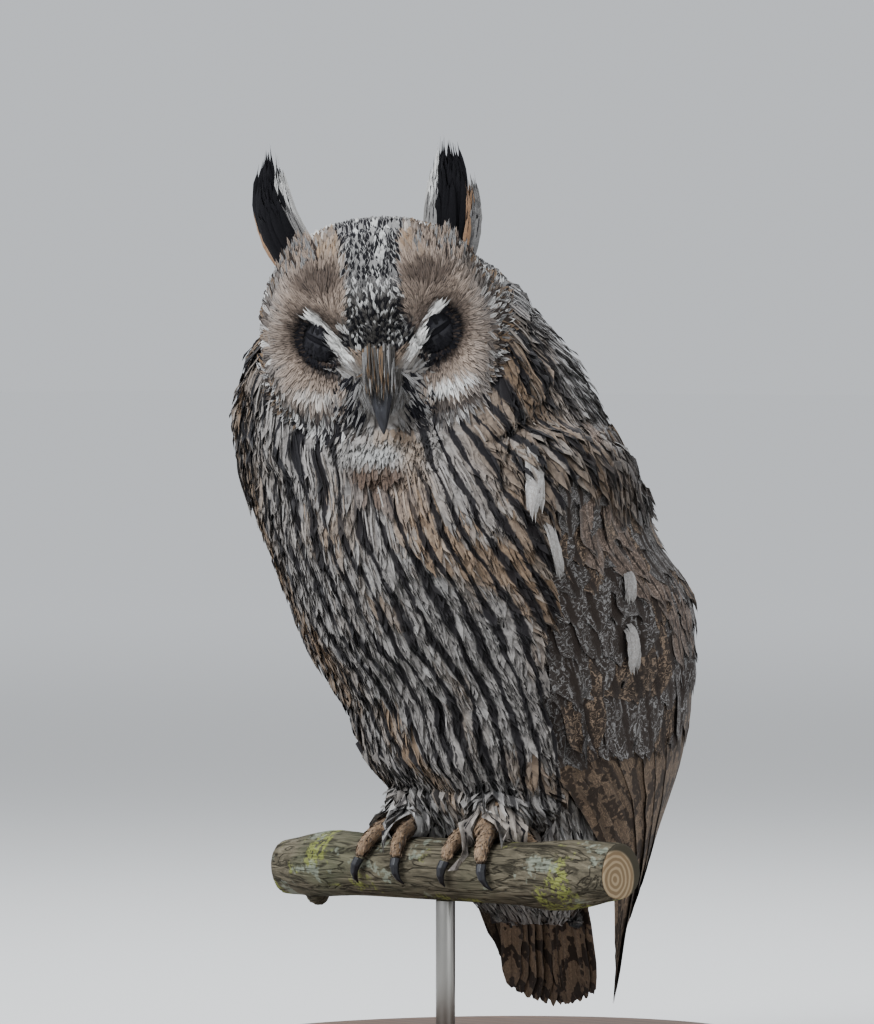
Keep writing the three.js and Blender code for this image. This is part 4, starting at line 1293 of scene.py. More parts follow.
def build_lashes():
    """Short black feathers all round the eyes, but for the side of the brow."""
    rng = np.random.default_rng(77)
    count = 900
    turn = rng.uniform(0, 2 * math.pi, count)
    off = rng.uniform(8.8, 10.6, count)
    x, z = EYE[0] + off * np.cos(turn), EYE[2] + off * np.sin(turn)
    clear = (brow_place(x, z)[0] > 2.5) & (under_brow(x, z) > 0)
    side, turn, x, z = both_sides(count)[clear], turn[clear], x[clear], z[clear]
    count = len(x)
    aims = vectors(side * np.cos(turn), rng.uniform(-0.3, 0.0, count), np.sin(turn))
    aims = unit(aims + rng.normal(0, 0.15, aims.shape)) @ HEAD_TURN.T
    long = rng.uniform(1.8, 3.6, count) * (1 - 0.25 * smooth(-np.sin(turn), 0.2, 0.9))
    roots = from_head(head_surface(side * x, z))
    laid = lay(roots, aims, long, 4, (np.full(count, 0.9), rng.uniform(1.2, 2.0, count)))
    tone = either(rng.random(count) < 0.7, tint("black") * 1.3, tint("brown"))
    values = fixed_values(count, tone, tint("black"), (0, 0, 0), 0, 78)
    feathers("lashes", laid, np.full(count, 0.42), values, 79, columns=3, root=0.8, tip=0.1)


# Ear tufts: middle of the root, lean outwards, bow, half breadth, how it grows and then narrows upwards, and
# the shares across where the pale inner edge ends and the buff outer edge begins.
TUFTS = {
    "left": (29.5, 5.0, 1.5, 9.5, 7.0, 10.5, -0.60, 0.46),
    "right": (31.0, 8.5, 5.0, 7.8, 5.0, 9.0, -0.42, 0.90),
}


def tuft_vanes(word, side, rng):
    """Long feathers of one tuft, which fan out: pale inner ones, black middle ones and buff outer ones."""
    middle, lean, bow, broad, grow, taper, first, last = TUFTS[word]
    black, cream, tan = tint("black"), tint("cream"), tint("tan")
    count = 96
    across = np.sort(np.concatenate([np.linspace(-1, 1, 38), rng.uniform(-1, 1, count - 38)]))
    layer = rng.random(count) ** 1.5
    inner = across < first
    outer = across > last
    tall = sizes().tuft_feather / MM * (1 - 0.16 * np.abs(across) ** 2.5) * (1 - 0.5 * layer)
    tall = tall * np.where(outer, 0.74, 1.0) * (1.0 if word == "left" else 1.04)
    share = np.linspace(0, 1, 10)[None, :]
    height = tall[:, None] * share
    up = height / 46.0
    x = middle + across[:, None] * (broad + grow * up - taper * up**2)
    x = x + lean * up + bow * np.sin(math.pi * np.clip(up, 0, 1))
    x = x + rng.normal(0, 0.4, (count, 1)) * share
    y = TUFT_ROOT[0] + 3.0 - 3.0 * (1 - across[:, None] ** 2) - 3.5 * up**2 - 3.0 * layer[:, None]
    y = y + rng.normal(0, 0.35, (count, 1))
    z = TUFT_ROOT[1] - 3 + height - 0.14 * np.abs(x - 14) * (1 - up)
    spine = np.stack([side * x, y, z], -1)
    aim = unit(np.gradient(spine, axis=1))
    forward = vectors(side * 0.45 * across, -1.0, 0.0)[:, None]
    # One dark feather parts the pale edge into two streaks, and its short feathers are cream.
    inner = inner & ~((np.abs(across - first + 0.16) < 0.05) & (layer < 0.5))
    pale = either(layer > 0.55, cream, tint("white") * 0.85)
    warm = either(across > last + 0.3, cream * 0.85, tan * np.array((1.0, 0.8, 0.62)))
    ground = either(inner, pale, either(outer, warm, black))
    marks = vectors(np.where(inner | outer, 0.08, 0.0), 0, np.where(outer, 0.25, 0.08))
    values = fixed_values(count, ground, black * 1.5, marks, np.where(outer, 0.15, 0.0), 83)
    half = np.full(count, 1.8) * rng.uniform(0.75, 1.15, count)
    shape = {"cup": 0.25, "ragged": 0.03, "root": 0.85, "widest": 0.4, "tip": 0.12, "comb": 0.03}
    laid = head_laid(spine, square_to(aim, forward), aim)
    return vanes("ear_tuft_feathers_" + word, laid, half, values, 84, **shape)


def tuft_laps(word, side, rng):
    """Short feathers of the head that lap over the tuft's root."""
    middle, broad = TUFTS[word][0], TUFTS[word][3]
    x = side * (middle + rng.uniform(-1.25, 1.1, 420) * broad)
    z = rng.uniform(27, 37, 420)
    ok = outline_share(x, z) < 0.96
    local = head_surface(x[ok], z[ok])[:, None]
    count = len(local)
    aims = unit(vectors(side * rng.uniform(-0.1, 0.35, count), rng.uniform(0.25, 0.6, count), 1.0))[:, None]
    long = rng.uniform(5, 9.5, count)[:, None, None]
    spine = local + aims * long * np.linspace(0, 1, 5)[None, :, None]
    way = aims + 0 * spine
    chance = rng.random(count)
    ground = either(chance < 0.85, tint("cream") * 0.8, tint("brown"))
    ground = either(chance < 0.55, tint("tan") * 0.8, ground)
    values = fixed_values(count, ground, tint("black"), (0.1, 0, 0.1), 0.1, 85)
    laid = head_laid(spine, square_to(way, np.array((0.0, -1.0, 0.3))), way)
    return vanes("tuft_laps_" + word, laid, np.full(count, 0.6), values, 86, columns=3, root=0.7)


def build_tufts():
    """The two ear tufts."""
    for seed, (word, side) in zip((81, 82), SIDES):
        rng = np.random.default_rng(seed)
        parts = [tuft_vanes(word, side, rng), tuft_laps(word, side, rng)]
        tuft = join(parts, "ear_tuft_feathers_" + word)
        dress(tuft, made["plumage"], "tuft", "ear_tuft_" + word)


# Wings and tail.

# Tiers of the wing: name, feathers in the row, shares across from the leading edge, root height, tip heights
# at the two ends, depth of the tips below the wing's face, and half width as a share of the spacing.
WING_TIERS = (
    ("primaries", 9, 0.03, 0.40, 150, (44, 56), 2.1, 1.35),
    ("secondaries", 11, 0.36, 0.97, 168, (62, 108), 1.5, 0.95),
    ("greater", 16, 0.02, 0.97, 182, (130, 138), 1.2, 0.9),
    ("median", 18, 0.01, 0.97, 196, (156, 156), 1.0, 0.9),
    ("lesser_a", 19, 0.0, 0.97, 207, (174, 172), 0.8, 0.9),
    ("lesser_b", 19, 0.0, 0.97, 218, (188, 186), 0.65, 0.9),
    ("lesser_c", 18, 0.0, 0.97, 229, (202, 200), 0.5, 0.9),
    ("lesser_d", 17, 0.01, 0.97, 239, (214, 214), 0.4, 0.95),
    ("lesser_e", 16, 0.03, 0.97, 249, (226, 226), 0.3, 0.95),
    ("lesser_f", 15, 0.06, 0.97, 258, (237, 238), 0.2, 1.0),
    ("lesser_g", 13, 0.12, 0.97, 267, (247, 248), 0.1, 1.0),
)
ROOT_DEPTH = 3.6  # of the roots below the wing's face
# Rows of the scapulars: root height, length, and shares across from the leading edge of the first and last.
SCAPULARS = (
    (277, 20, 0.6, 1.5),
    (270, 22, 0.45, 1.45),
    (262, 23, 0.34, 1.3),
    (253, 25, 0.30, 1.15),
    (244, 26, 0.30, 1.06),
    (234, 28, 0.33, 1.0),
    (223, 29, 0.40, 0.98),
    (212, 29, 0.46, 0.97),
    (200, 28, 0.52, 0.96),
)
# White feathers on the wing: height and share across from the leading edge of the two ends, and half width.
WHITE_WEBS = np.array(
    [
        (261, -0.15, 234, 0.05, 4.6),
        (232, 0.12, 208, 0.18, 2.6),
        (210, 0.37, 197, 0.34, 4.2),
        (188, 0.345, 169, 0.335, 4.4),
    ]
)
# Their strands: place aside as a share of the half width, lift, and tone of the white.
WEB_STRANDS = ((-0.42, 0.0, 0.5), (0.42, 0.25, 0.6), (-0.08, 0.5, 0.68), (0.2, 0.75, 0.56))


def wing_spines(side, share, root, tip, tip_depth, tile, steps, seed):
    """
    Centre lines of one row of the wing's feathers, in the form that vanes takes, and their spacing. Each vane
    is raised by the tile at its edge towards the leading edge.
    """
    rng = np.random.default_rng(seed)
    s = np.linspace(0, 1, steps)[None, :]
    share, tip = share[:, None], tip[:, None]
    z = root + (tip - root) * s
    depth = ROOT_DEPTH + (tip_depth + rng.normal(0, 0.15, (len(share), 1)) - ROOT_DEPTH) * s**0.8
    # Coverts run straight down the body, and the quills along the wing.
    low, high = curve(WING_EDGES, 1, tip), curve(WING_EDGES, 2, tip)
    lead, width = curve(WING_EDGES, 1, z), curve(WING_EDGES, 2, z) - curve(WING_EDGES, 1, z)
    straight = (low + (high - low) * share - lead) / width
    wide = share + (straight - share) * smooth(tip, 112, 150)
    depth = depth + 6.5 * (1 - smooth(wide, 0.0, 0.20)) * smooth(z, 120, 150)
    spine = on_wing(z, wide, depth, side)
    ahead = on_wing(z - 0.5, wide, depth, side) - on_wing(z + 0.5, wide, depth, side)
    beside = on_wing(z, wide + 0.01, depth, side) - on_wing(z, wide - 0.01, depth, side)
    out = unit(np.cross(beside, ahead)) * side
    middle = np.stack([curve(WING_FACE, 1, z), curve(WING_FACE, 2, z), z], -1)
    out = out * np.sign(np.sum(out * (spine - middle), -1, keepdims=True))
    out = unit(out - unit(beside) * tile)
    gap = np.linalg.norm(beside, axis=-1).mean(1) / 0.02
    return spine, out, unit(ahead), gap


def sunk(spine, out, by):
    """Centre lines whose roots lie deeper in the coat by so many millimetres."""
    share = np.linspace(0, 1, spine.shape[1])[None, :, None]
    return spine - out * by * (1 - share) ** 2


def wing_row(word, side, row):
    """One tier of coverts or quills."""
    grey, brown, buff, cream = (tint(name) for name in ("grey", "brown", "buff", "cream"))
    name, count, first, last, root, tips, tip_depth, overlap = WING_TIERS[row]
    rng = np.random.default_rng(100 + row)
    share = np.linspace(first, last, count) + rng.normal(0, 0.004, count)
    tip = np.linspace(*tips, count) + rng.normal(0, 1.5, count)
    if name == "primaries":
        tip = 56 - 26 * np.sin(np.linspace(0.45, 2.6, count))
    quill = name in ("primaries", "secondaries")
    steps = 16 if quill else 9
    spine, out, aim, gap = wing_spines(side, share, root, tip, tip_depth, 0.06, steps, 120 + row)
    upper = smooth(np.array(root), 232, 268)
    spine = sunk(spine, out, 5.0 * upper)
    half = gap * (last - first) / (count - 1) * overlap
    ground = either(rng.random(count) < 0.25, buff * 0.7 + cream * 0.15, cream * 0.75)
    marks = (0.18, 0.08, 0.95 - 0.2 * upper)
    shape = {"ragged": 0.03, "widest": 0.68, "comb": 0.03, "point": 0.1}
    if quill:
        ground = buff * 0.62 + grey * 0.12
        marks = (0.05, 0.92, 0.55)
        shape = {"ragged": 0.012, "widest": 0.85, "comb": 0.0, "point": 0.05}
    elif name == "greater":
        marks = (0.14, 0.35, 0.95)
    values = fixed_values(count, ground, brown * 0.7, marks, 0.05, 140 + row)
    laid = (spine, out, aim, nearest(spine[:, 0])[2])
    name = f"wing_{word}_{name}"
    return vanes(name, laid, half, values, 150 + row, columns=7, cup=0.05, root=0.75, tip=0.42, **shape)


def build_wings():
    """Quills and coverts of both folded wings."""
    for word, side in SIDES:
        rows = [wing_row(word, side, row) for row in range(len(WING_TIERS))]
        dress(join(rows, "wing_feathers_" + word), made["plumage"], "wing", "wing_" + word)


def scapular_row(word, side, row, rng):
    """One row of the loose feathers over the wing's root, with warm ones at its front edge."""
    buff, cream = tint("buff"), tint("cream")
    root, length, first, last = SCAPULARS[row]
    count = 14
    share = np.linspace(first, last, count) + rng.normal(0, 0.012, count)
    tip = root - length + rng.normal(0, 1.5, count)
    tip_depth = max(-0.5, 2.6 - 0.75 * row)
    spine, out, aim, _ = wing_spines(side, share, root, tip, tip_depth, 0.03, 9, 170 + row)
    spine = sunk(spine, out, max(0.0, 6.0 - 2.0 * row)) + out * 0.6
    half = np.full(count, 4.8) * rng.uniform(0.9, 1.1, count)
    edge = share < first + 0.13
    ground = either(rng.random(count) < 0.3, buff * 0.7 + cream * 0.15, cream * 0.9)
    ground = either(edge, cream * np.array((0.95, 0.76, 0.64)), ground)
    marks = either(edge, (0.10, 0.15, 0.7), (0.22, 0.06, 0.7 + 0.025 * row))
    values = fixed_values(count, ground, tint("brown") * 0.7, marks, np.where(edge, 0.25, 0.05), 180 + row)
    laid = (spine, out, aim, nearest(spine[:, 0])[2])
    name = f"scapulars_{word}_{row}"
    return vanes(name, laid, half, values, 190 + row, columns=7, ragged=0.03, root=0.6, comb=0.04)


def white_webs(word, side, rng):
    """The white feathers on the wing, each of four overlapping strands."""
    top, first, bottom, last, half = WHITE_WEBS.T
    share = np.linspace(0, 1, 12)[None, :, None]
    a, b = on_wing(top, first, 1.5, side), on_wing(bottom, last, -1.9, side)
    z, middle = (top + bottom) / 2, (first + last) / 2
    aim = unit(b - a)[:, None] + np.zeros((len(half), 12, 3))
    out = square_to(aim, (on_wing(z, middle, -1.0, side) - on_wing(z, middle, 0.0, side))[:, None])
    spine = a[:, None] * (1 - share) + b[:, None] * share + out * 2.2 * np.sin(math.pi * share**0.6)
    uv = nearest(spine[:, 0])[2]
    sideways = np.cross(aim, out) * half[:, None, None]
    parts = []
    for row, (aside, lift, tone) in enumerate(WEB_STRANDS):
        wander = 0.12 * np.sin(5 * share + row)
        back = rng.uniform(-2.5, 0.5, len(half))[:, None, None]
        strand = spine + sideways * (aside + wander) + out * lift + aim * back
        values = fixed_values(
            len(half), tint("white") * tone, tint("brown") * 3, (0.04, 0, 0.4), 0.3, 198 + row
        )
        shape = {"columns": 7, "cup": 0.2, "ragged": 0.05, "root": 0.6, "tip": 0.5, "comb": 0.12}
        laid = (strand, out, aim, uv)
        parts.append(vanes(f"webs_{word}_{row}", laid, half * 0.55, values, 202 + row, **shape))
    return parts


def build_scapulars():
    """Loose shoulder feathers over the wing's root, and the white ones on the wing."""
    for word, side in SIDES:
        rng = np.random.default_rng(161)
        parts = [scapular_row(word, side, row, rng) for row in range(len(SCAPULARS))]
        parts += white_webs(word, side, rng)
        dress(join(parts, "scapular_feathers_" + word), made["plumage"], "wing")


def build_tail():
    """Twelve barred tail feathers, folded, with the middle pair on top."""
    count, steps = 12, 16
    root, tip = np.array((0, 36, 118.0)), np.array((0, 46, 27.0))
    axis = tip - root
    outward = unit(np.array((0, -axis[2], axis[1])))
    across = (2 * np.arange(count) + 1) / count - 1
    s = np.linspace(0, 1, steps)[None, :, None]
    reach = (1 - 0.08 * across**2)[:, None, None]
    spine = root + axis * s * reach + np.zeros((count, steps, 3))
    spine[..., 0] = across[:, None] * (16 + 9 * s[..., 0])
    layer = -0.5 * np.abs(np.arange(count) - (count - 1) / 2)
    spine = spine + outward * layer[:, None, None]
    out = np.tile(outward, (count, steps, 1))
    laid = (spine, out, unit(np.gradient(spine, axis=1)), nearest(spine[:, 0])[2])
    ground = tint("buff") * 0.85 + tint("grey") * 0.2
    values = fixed_values(count, ground, tint("brown"), (0.04, 0.95, 0.3), 0.15, 201)
    shape = {"cup": 0.06, "ragged": 0.004, "root": 0.8, "widest": 0.9, "tip": 0.5, "point": 0.03}
    half = np.full(count, 5.6)
    feathers("tail_quills", laid, half, values, 202, slot="tail", nodes=["tail"], columns=7, **shape)


def build_leg_feathers():
    """Short soft feathers on the shanks and toes."""
    rng = np.random.default_rng(211)
    points = mesh_points(bpy.data.objects["skin"].data)
    x, y, z = points.T
    low = (z < 121) & (y < -2) & (z > 84) & (np.abs(np.abs(x) - 24) < 17)
    on_perch = np.hypot(y - PERCH_Y, z - PERCH_Z) < PERCH_RADIUS + 0.6
    roots = points[rng.permutation(np.flatnonzero(low & ~on_perch))[:2600]]
    count = len(roots)
    turn = np.arctan2(roots[:, 1] - PERCH_Y, roots[:, 2] - PERCH_Z)
    around_perch = vectors(0.0, np.cos(turn), -np.sin(turn)) * np.sign(roots[:, 1] - FOOT_Y)[:, None]
    high = smooth(roots[:, 2], 105, 112)
    aims = unit(blend(around_perch, np.array((0, -0.15, -1.0)), high) + rng.normal(0, 0.15, roots.shape))
    length = rng.uniform(4.2, 6.5, count) * (0.75 + 0.5 * high)
    laid = lay(roots, aims, length, 4, (np.full(count, -0.2), rng.uniform(0.4, 1.1, count)))
    values = fixed_values(count, tint("buff") * 1.15, tint("brown"), (0.08, 0, 0.08), 0.35, 212)
    half = np.full(count, 1.05)
    feathers("leg_feathers", laid, half, values, 213, slot="leg", columns=3, ragged=0.1, root=0.7)


# Bare parts, perch and stand.


def eye_centre(side):
    return from_head(EYE * np.array((side, 1, 1)))


def build_bare_parts():
    """Eyes, bill and claws."""
    horn, eye = horn_material(), eye_material()
    for word, side in SIDES:
        centre = eye_centre(side)
        eyeball = ball(centre, EYE_RADIUS)
        eyeball.name = "eyeball_" + word
        gaze = HEAD_TURN @ unit(np.array((side * 0.16, -1.0, 0.0)))
        away = (mesh_points(eyeball.data) - centre) / EYE_RADIUS
        off = np.arccos(np.clip(away @ gaze, -1, 1)) / (IRIS_EDGE * RAD)
        layer = eyeball.data.attributes.new("iris", "FLOAT", "POINT")
        layer.data.foreach_set("value", off.astype(np.float32))
        eyeball.data.shade_smooth()
        dress(eyeball, eye, "eye", "eye_" + word)
    for node in ("bill_upper", "bill_lower"):
        dress(rounded_copy(node, node + "_horn", 0.0004, 6), horn, "bill", node)
    for toe in [f"{word}_{number}" for word, _ in SIDES for number in "1234"]:
        dress(rounded_copy("claw_" + toe, "talon_" + toe, 0.0003, 5), horn, "claw", "claw_" + toe)


def build_lids():
    """Upper and lower lids that leave a slit, with tiny black feathers on them."""
    skin = lid_material()
    for word, side in SIDES:
        centre = eye_centre(side)
        slant = Matrix.Rotation(-side * LID_SLANT * RAD, 3, "Y")
        gaze = Matrix.Rotation(side * 10 * RAD, 3, "Z")
        turn = np.array(HEAD.to_3x3() @ gaze @ slant)
        back = turn @ np.array((0.0, 1.0, 0.0))
        lids = []
        for tilt, up in ((UPPER_LID, 1.0), (LOWER_LID, -1.0)):
            lid = ball(centre, EYE_RADIUS + 0.35)
            edge = turn @ np.array((0.0, math.sin(tilt * RAD), math.cos(tilt * RAD))) * up
            with editing(lid):
                bpy.ops.mesh.bisect(plane_co=centre * MM, plane_no=edge, clear_inner=True)
                bpy.ops.mesh.select_all(action="SELECT")
                bpy.ops.mesh.bisect(plane_co=centre * MM, plane_no=-back, clear_inner=True)
            apply_modifier(lid, "SOLIDIFY", thickness=0.0008, offset=1.0)
            bevel(lid, 0.00025, 2, 50)
            lid.data.shade_smooth()
            lids.append(lid)
        dress(join(lids, "eyelids_" + word), skin, "eye")
        build_lid_feathers(word, centre, turn)


def build_lid_feathers(word, centre, turn):
    """Tiny black feathers on both lids, blackest at their rims."""
    rng = np.random.default_rng(93)
    count = 420
    across = rng.uniform(-80, 80, count) * RAD
    up = rng.uniform(0.12, 1.15, count) * np.where(rng.random(count) < 0.6, 1.0, -1.0)
    radius = EYE_RADIUS + 1.1
    sine, cosine = np.sin(across), np.cos(across)
    way = vectors(sine * np.cos(up), -cosine * np.cos(up), np.sin(up))
    ahead = vectors(-sine * np.sin(up), cosine * np.sin(up), np.cos(up)) * np.sign(up)[:, None]
    ahead = unit(ahead + vectors(sine * 0.6, 0.0, 0.0))
    share = np.linspace(0, 1, 4)[None, :, None]
    long = rng.uniform(2.2, 3.6, count)[:, None, None]
    spine = way[:, None] * (radius + 0.5 * share) + ahead[:, None] * long * share
    spine = unit(spine) * (radius + 0.1 + 0.7 * share)
    aim = unit(np.gradient(spine, axis=1))
    world = spine @ turn.T + centre
    laid = (world, unit(spine) @ turn.T, aim @ turn.T, nearest(world[:, 0])[2])
    ground = either(np.abs(up) < 0.2, tint("black") * 0.8, tint("black") * 1.5)
    values = fixed_values(count, ground, tint("black"), (0, 0, 0), 0, 94)
    half = np.full(count, 0.55)
    feathers("lid_feathers_" + word, laid, half, values, 95, columns=3, root=0.8, ragged=0.08)


def build_perch():
    branch = rounded_copy("perch_branch", "perch_bark", 0.0012, 3)
    dress(branch, bark_material(), "bark", "perch_branch")


def build_stand():
    """An oval board with a rounded upper edge, and a rod with a collar."""
    base = block(105.0, 122.0, 0.0, BASE_TOP, 0.0, 128)
    base.name = "base_board"
    with editing(base):
        bpy.ops.mesh.select_all(action="DESELECT")
    for edge in base.data.edges:
        edge.select = all(base.data.vertices[k].co.z > (BASE_TOP - 0.5) * MM for k in edge.vertices)
    bpy.ops.object.mode_set(mode="EDIT")
    bpy.ops.mesh.bevel(offset=0.0025, segments=5, profile=0.6)
    bpy.ops.object.mode_set(mode="OBJECT")
    bevel(base, 0.0004, 2, 60)
    base.data.shade_smooth()
    bpy.ops.object.shade_smooth_by_angle(angle=30 * RAD)
    dress(base, wood_material(), "base", "stand_base")
    shaft = block(4.0, 4.0, BASE_TOP, BASE_TOP + 58.5, PERCH_Y, 48)
    collar = block(7.8, 7.8, BASE_TOP, BASE_TOP + 3.0, PERCH_Y, 48)
    rod = join([shaft, collar], "stand_rod_steel")
    bevel(rod, 0.0006, 3, 50)
    bpy.ops.object.shade_smooth_by_angle(angle=30 * RAD)
    dress(rod, steel_material(), "steel", "stand_rod")


# The stage.

# The photograph's view: the camera's angles in degrees and its lens, half the height of the view in metres,
# millimetres to a pixel, and in pixels the middle of the frame and the crown's place in it.
CAMERA_AZIMUTH, CAMERA_RISE = 43.0, 1.2
LENS, SENSOR = 300, 36
FRAME_HALF = 0.21
PIXEL = 0.41
FRAME_MIDDLE, CROWN_IN_FRAME = (437, 512), (384, 213)
CROWN_HEIGHT = 358
# Lamps: name, metres towards the camera, aside and up, watts, and size in metres.
LAMPS = (
    ("key", 0.9, -0.9, 1.25, 27.0, 0.7),
    ("fill", 1.2, 1.1, 0.7, 8.0, 1.2),
    ("top", -0.7, 0.2, 1.5, 20.0, 0.9),
)


def linked(name, data, place, way):
    """An object of the stage at a place, looking along a way."""
    o = bpy.data.objects.new(name, data)
    o.location = place
    o.rotation_euler = way.to_track_quat("-Z", "Y").to_euler()
    bpy.context.scene.collection.objects.link(o)
    return o


def build_stage():
    """Floor, daylight, three lamps and the camera of the photograph."""
    nothing_selected()
    bpy.ops.mesh.primitive_plane_add(size=60, location=(0, 0, 0))
    floor = bpy.context.active_object
    floor.name = "stage_floor"
    floor.data.materials.append(floor_material())
    scene = bpy.context.scene
    scene.world = bpy.data.worlds.new("studio")
    scene.world.use_nodes = True
    background = scene.world.node_tree.nodes["Background"]
    background.inputs[0].default_value = (0.90, 0.93, 0.97, 1)
    background.inputs[1].default_value = 0.60
    at = CAMERA_AZIMUTH * RAD
    way = Vector((math.sin(at), -math.cos(at), 0))
    beside = Vector((math.cos(at), math.sin(at), 0))
    target = Vector((0, 0, 0.22))
    for name, forward, aside, height, energy, size in LAMPS:
        light = bpy.data.lights.new(name, "AREA")
        light.energy = energy
        light.color = (0.94, 0.97, 1.0)
        light.size = size
        place = way * forward + beside * aside + Vector((0, 0, height))
        linked("light_" + name, light, place, target - place)
    camera = bpy.data.cameras.new("camera")
    camera.lens = LENS
    camera.sensor_width = SENSOR
    camera.sensor_fit = "AUTO"
    camera.clip_end = 50
    height = (CROWN_HEIGHT - (FRAME_MIDDLE[1] - CROWN_IN_FRAME[1]) * PIXEL) * MM
    aside = (FRAME_MIDDLE[0] - CROWN_IN_FRAME[0]) * PIXEL * MM
    look = Vector((0, HEAD.translation.y * MM, height)) + beside * aside
    distance = FRAME_HALF / (SENSOR / 2 / LENS)
    direction = way * math.cos(CAMERA_RISE * RAD) + Vector((0, 0, math.sin(CAMERA_RISE * RAD)))
    scene.camera = linked("camera", camera, look + direction * distance, -direction)
    scene.view_settings.view_transform = "AgX"
    scene.view_settings.look = "AgX - Medium High Contrast"


def colour_skin(skin):
    """The skin has the same markings as the coat over it."""
    points = mesh_points(skin.data)
    local = to_head(points)
    values = markings(points, 300)
    on_head = np.linalg.norm(local / np.array((50, 48, 50)), axis=1) < 1.03
    head = face_markings(local, 310)
    for key, value in values.items():
        write_values(skin.data, key, np.where(on_head[:, None], head[key], value))
    layer = skin.data.uv_layers.new(name="vane")
    layer.data.foreach_set("uv", np.full(len(skin.data.loops) * 2, 0.3, np.float32))


def build_skin():
    made["plumage"] = plumage_material()
    skin = fused_skin()
    read_skin(skin)
    colour_skin(skin)
    dress(skin, made["plumage"], "plumage", *FLESH)


# The add-on.


class OWL_OT_skin(bpy.types.Operator):
    """One skin under the whole coat."""

    bl_idname = "owl.skin"
    bl_label = "Skin"

    def execute(self, context):
        build_skin()
        return {"FINISHED"}


class OWL_OT_bare_parts(bpy.types.Operator):
    """The parts without feathers."""

    bl_idname = "owl.bare_parts"
    bl_label = "Eyes, bill and claws"

    def execute(self, context):
        build_bare_parts()
        return {"FINISHED"}


class OWL_OT_lids(bpy.types.Operator):
    """The nearly shut lids."""

    bl_idname = "owl.lids"
    bl_label = "Eyelids"

    def execute(self, context):
        build_lids()
        return {"FINISHED"}


class OWL_OT_body_feathers(bpy.types.Operator):
    """Feathers of the neck, breast, belly and back."""

    bl_idname = "owl.body_feathers"
    bl_label = "Body feathers"

    def execute(self, context):
        build_body_feathers()
        return {"FINISHED"}


class OWL_OT_loose_barbs(bpy.types.Operator):
    """Single barbs that soften the coat."""

    bl_idname = "owl.loose_barbs"
    bl_label = "Loose barbs"

    def execute(self, context):
        build_loose_barbs()
        return {"FINISHED"}


class OWL_OT_head_feathers(bpy.types.Operator):
    """Feathers of the facial disc and crown."""

    bl_idname = "owl.head_feathers"
    bl_label = "Head feathers"

    def execute(self, context):
        build_head_feathers()
        return {"FINISHED"}


class OWL_OT_bristles(bpy.types.Operator):
    """Bristle feathers round the bill."""

    bl_idname = "owl.bristles"
    bl_label = "Bristles"

    def execute(self, context):
        build_bristles()
        return {"FINISHED"}


class OWL_OT_throat(bpy.types.Operator):
    """Small feathers of the throat."""

    bl_idname = "owl.throat"
    bl_label = "Throat"

    def execute(self, context):
        build_throat()
        return {"FINISHED"}


class OWL_OT_lashes(bpy.types.Operator):
    """Short black feathers round the eyes."""

    bl_idname = "owl.lashes"
    bl_label = "Lashes"

    def execute(self, context):
        build_lashes()
        return {"FINISHED"}


class OWL_OT_tufts(bpy.types.Operator):
    """The two raised ear tufts."""

    bl_idname = "owl.tufts"
    bl_label = "Ear tufts"

    def execute(self, context):
        build_tufts()
        return {"FINISHED"}


class OWL_OT_wings(bpy.types.Operator):
    """Coverts and flight feathers of both wings."""

    bl_idname = "owl.wings"
    bl_label = "Wings"

    def execute(self, context):
        build_wings()
        return {"FINISHED"}


class OWL_OT_scapulars(bpy.types.Operator):
    """Shoulder feathers over the wings."""

    bl_idname = "owl.scapulars"
    bl_label = "Scapulars"

    def execute(self, context):
        build_scapulars()
        return {"FINISHED"}


class OWL_OT_tail(bpy.types.Operator):
    """The folded tail."""

    bl_idname = "owl.tail"
    bl_label = "Tail"

    def execute(self, context):
        build_tail()
        return {"FINISHED"}


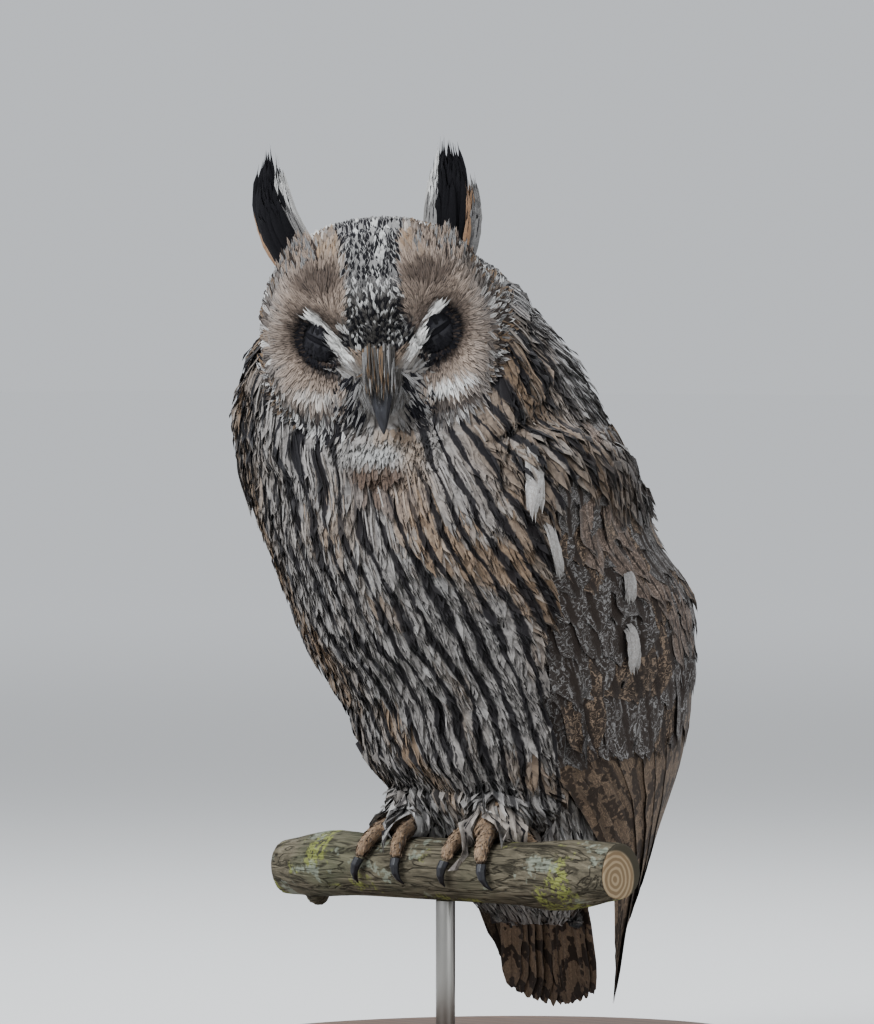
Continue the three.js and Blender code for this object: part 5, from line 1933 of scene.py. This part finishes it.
class OWL_OT_legs(bpy.types.Operator):
    """Short feathers of the legs and toes."""

    bl_idname = "owl.legs"
    bl_label = "Leg feathers"

    def execute(self, context):
        build_leg_feathers()
        return {"FINISHED"}


class OWL_OT_perch(bpy.types.Operator):
    """The cut branch."""

    bl_idname = "owl.perch"
    bl_label = "Perch"

    def execute(self, context):
        build_perch()
        return {"FINISHED"}


class OWL_OT_stand(bpy.types.Operator):
    """The base board and its rod."""

    bl_idname = "owl.stand"
    bl_label = "Stand"

    def execute(self, context):
        build_stand()
        return {"FINISHED"}


class OWL_OT_stage(bpy.types.Operator):
    """Floor, lights and camera."""

    bl_idname = "owl.stage"
    bl_label = "Stage"

    def execute(self, context):
        build_stage()
        return {"FINISHED"}


STEPS = (
    OWL_OT_skin,
    OWL_OT_bare_parts,
    OWL_OT_lids,
    OWL_OT_body_feathers,
    OWL_OT_loose_barbs,
    OWL_OT_head_feathers,
    OWL_OT_bristles,
    OWL_OT_throat,
    OWL_OT_lashes,
    OWL_OT_tufts,
    OWL_OT_wings,
    OWL_OT_scapulars,
    OWL_OT_tail,
    OWL_OT_legs,
    OWL_OT_perch,
    OWL_OT_stand,
    OWL_OT_stage,
)


class OWL_PT_panel(bpy.types.Panel):
    """The owl's sizes, colours and building steps."""

    bl_label = "Owl"
    bl_idname = "OWL_PT_panel"
    bl_space_type = "VIEW_3D"
    bl_region_type = "UI"
    bl_category = "Owl"

    def draw(self, context):
        for group in (context.scene.owl_sizes, context.scene.owl_colours):
            for key in group.__annotations__:
                self.layout.prop(group, key)
        for step in STEPS:
            self.layout.operator(step.bl_idname)


CLASSES = (OwlSizes, OwlColours, *STEPS, OWL_PT_panel)


def register():
    for each in CLASSES:
        bpy.utils.register_class(each)
    bpy.types.Scene.owl_sizes = bpy.props.PointerProperty(type=OwlSizes)
    bpy.types.Scene.owl_colours = bpy.props.PointerProperty(type=OwlColours)


def unregister():
    del bpy.types.Scene.owl_sizes
    del bpy.types.Scene.owl_colours
    for each in reversed(CLASSES):
        bpy.utils.unregister_class(each)


def main():
    register()
    for step in STEPS:
        getattr(bpy.ops.owl, step.bl_idname.split(".")[1])()


if __name__ == "__main__":
    main()
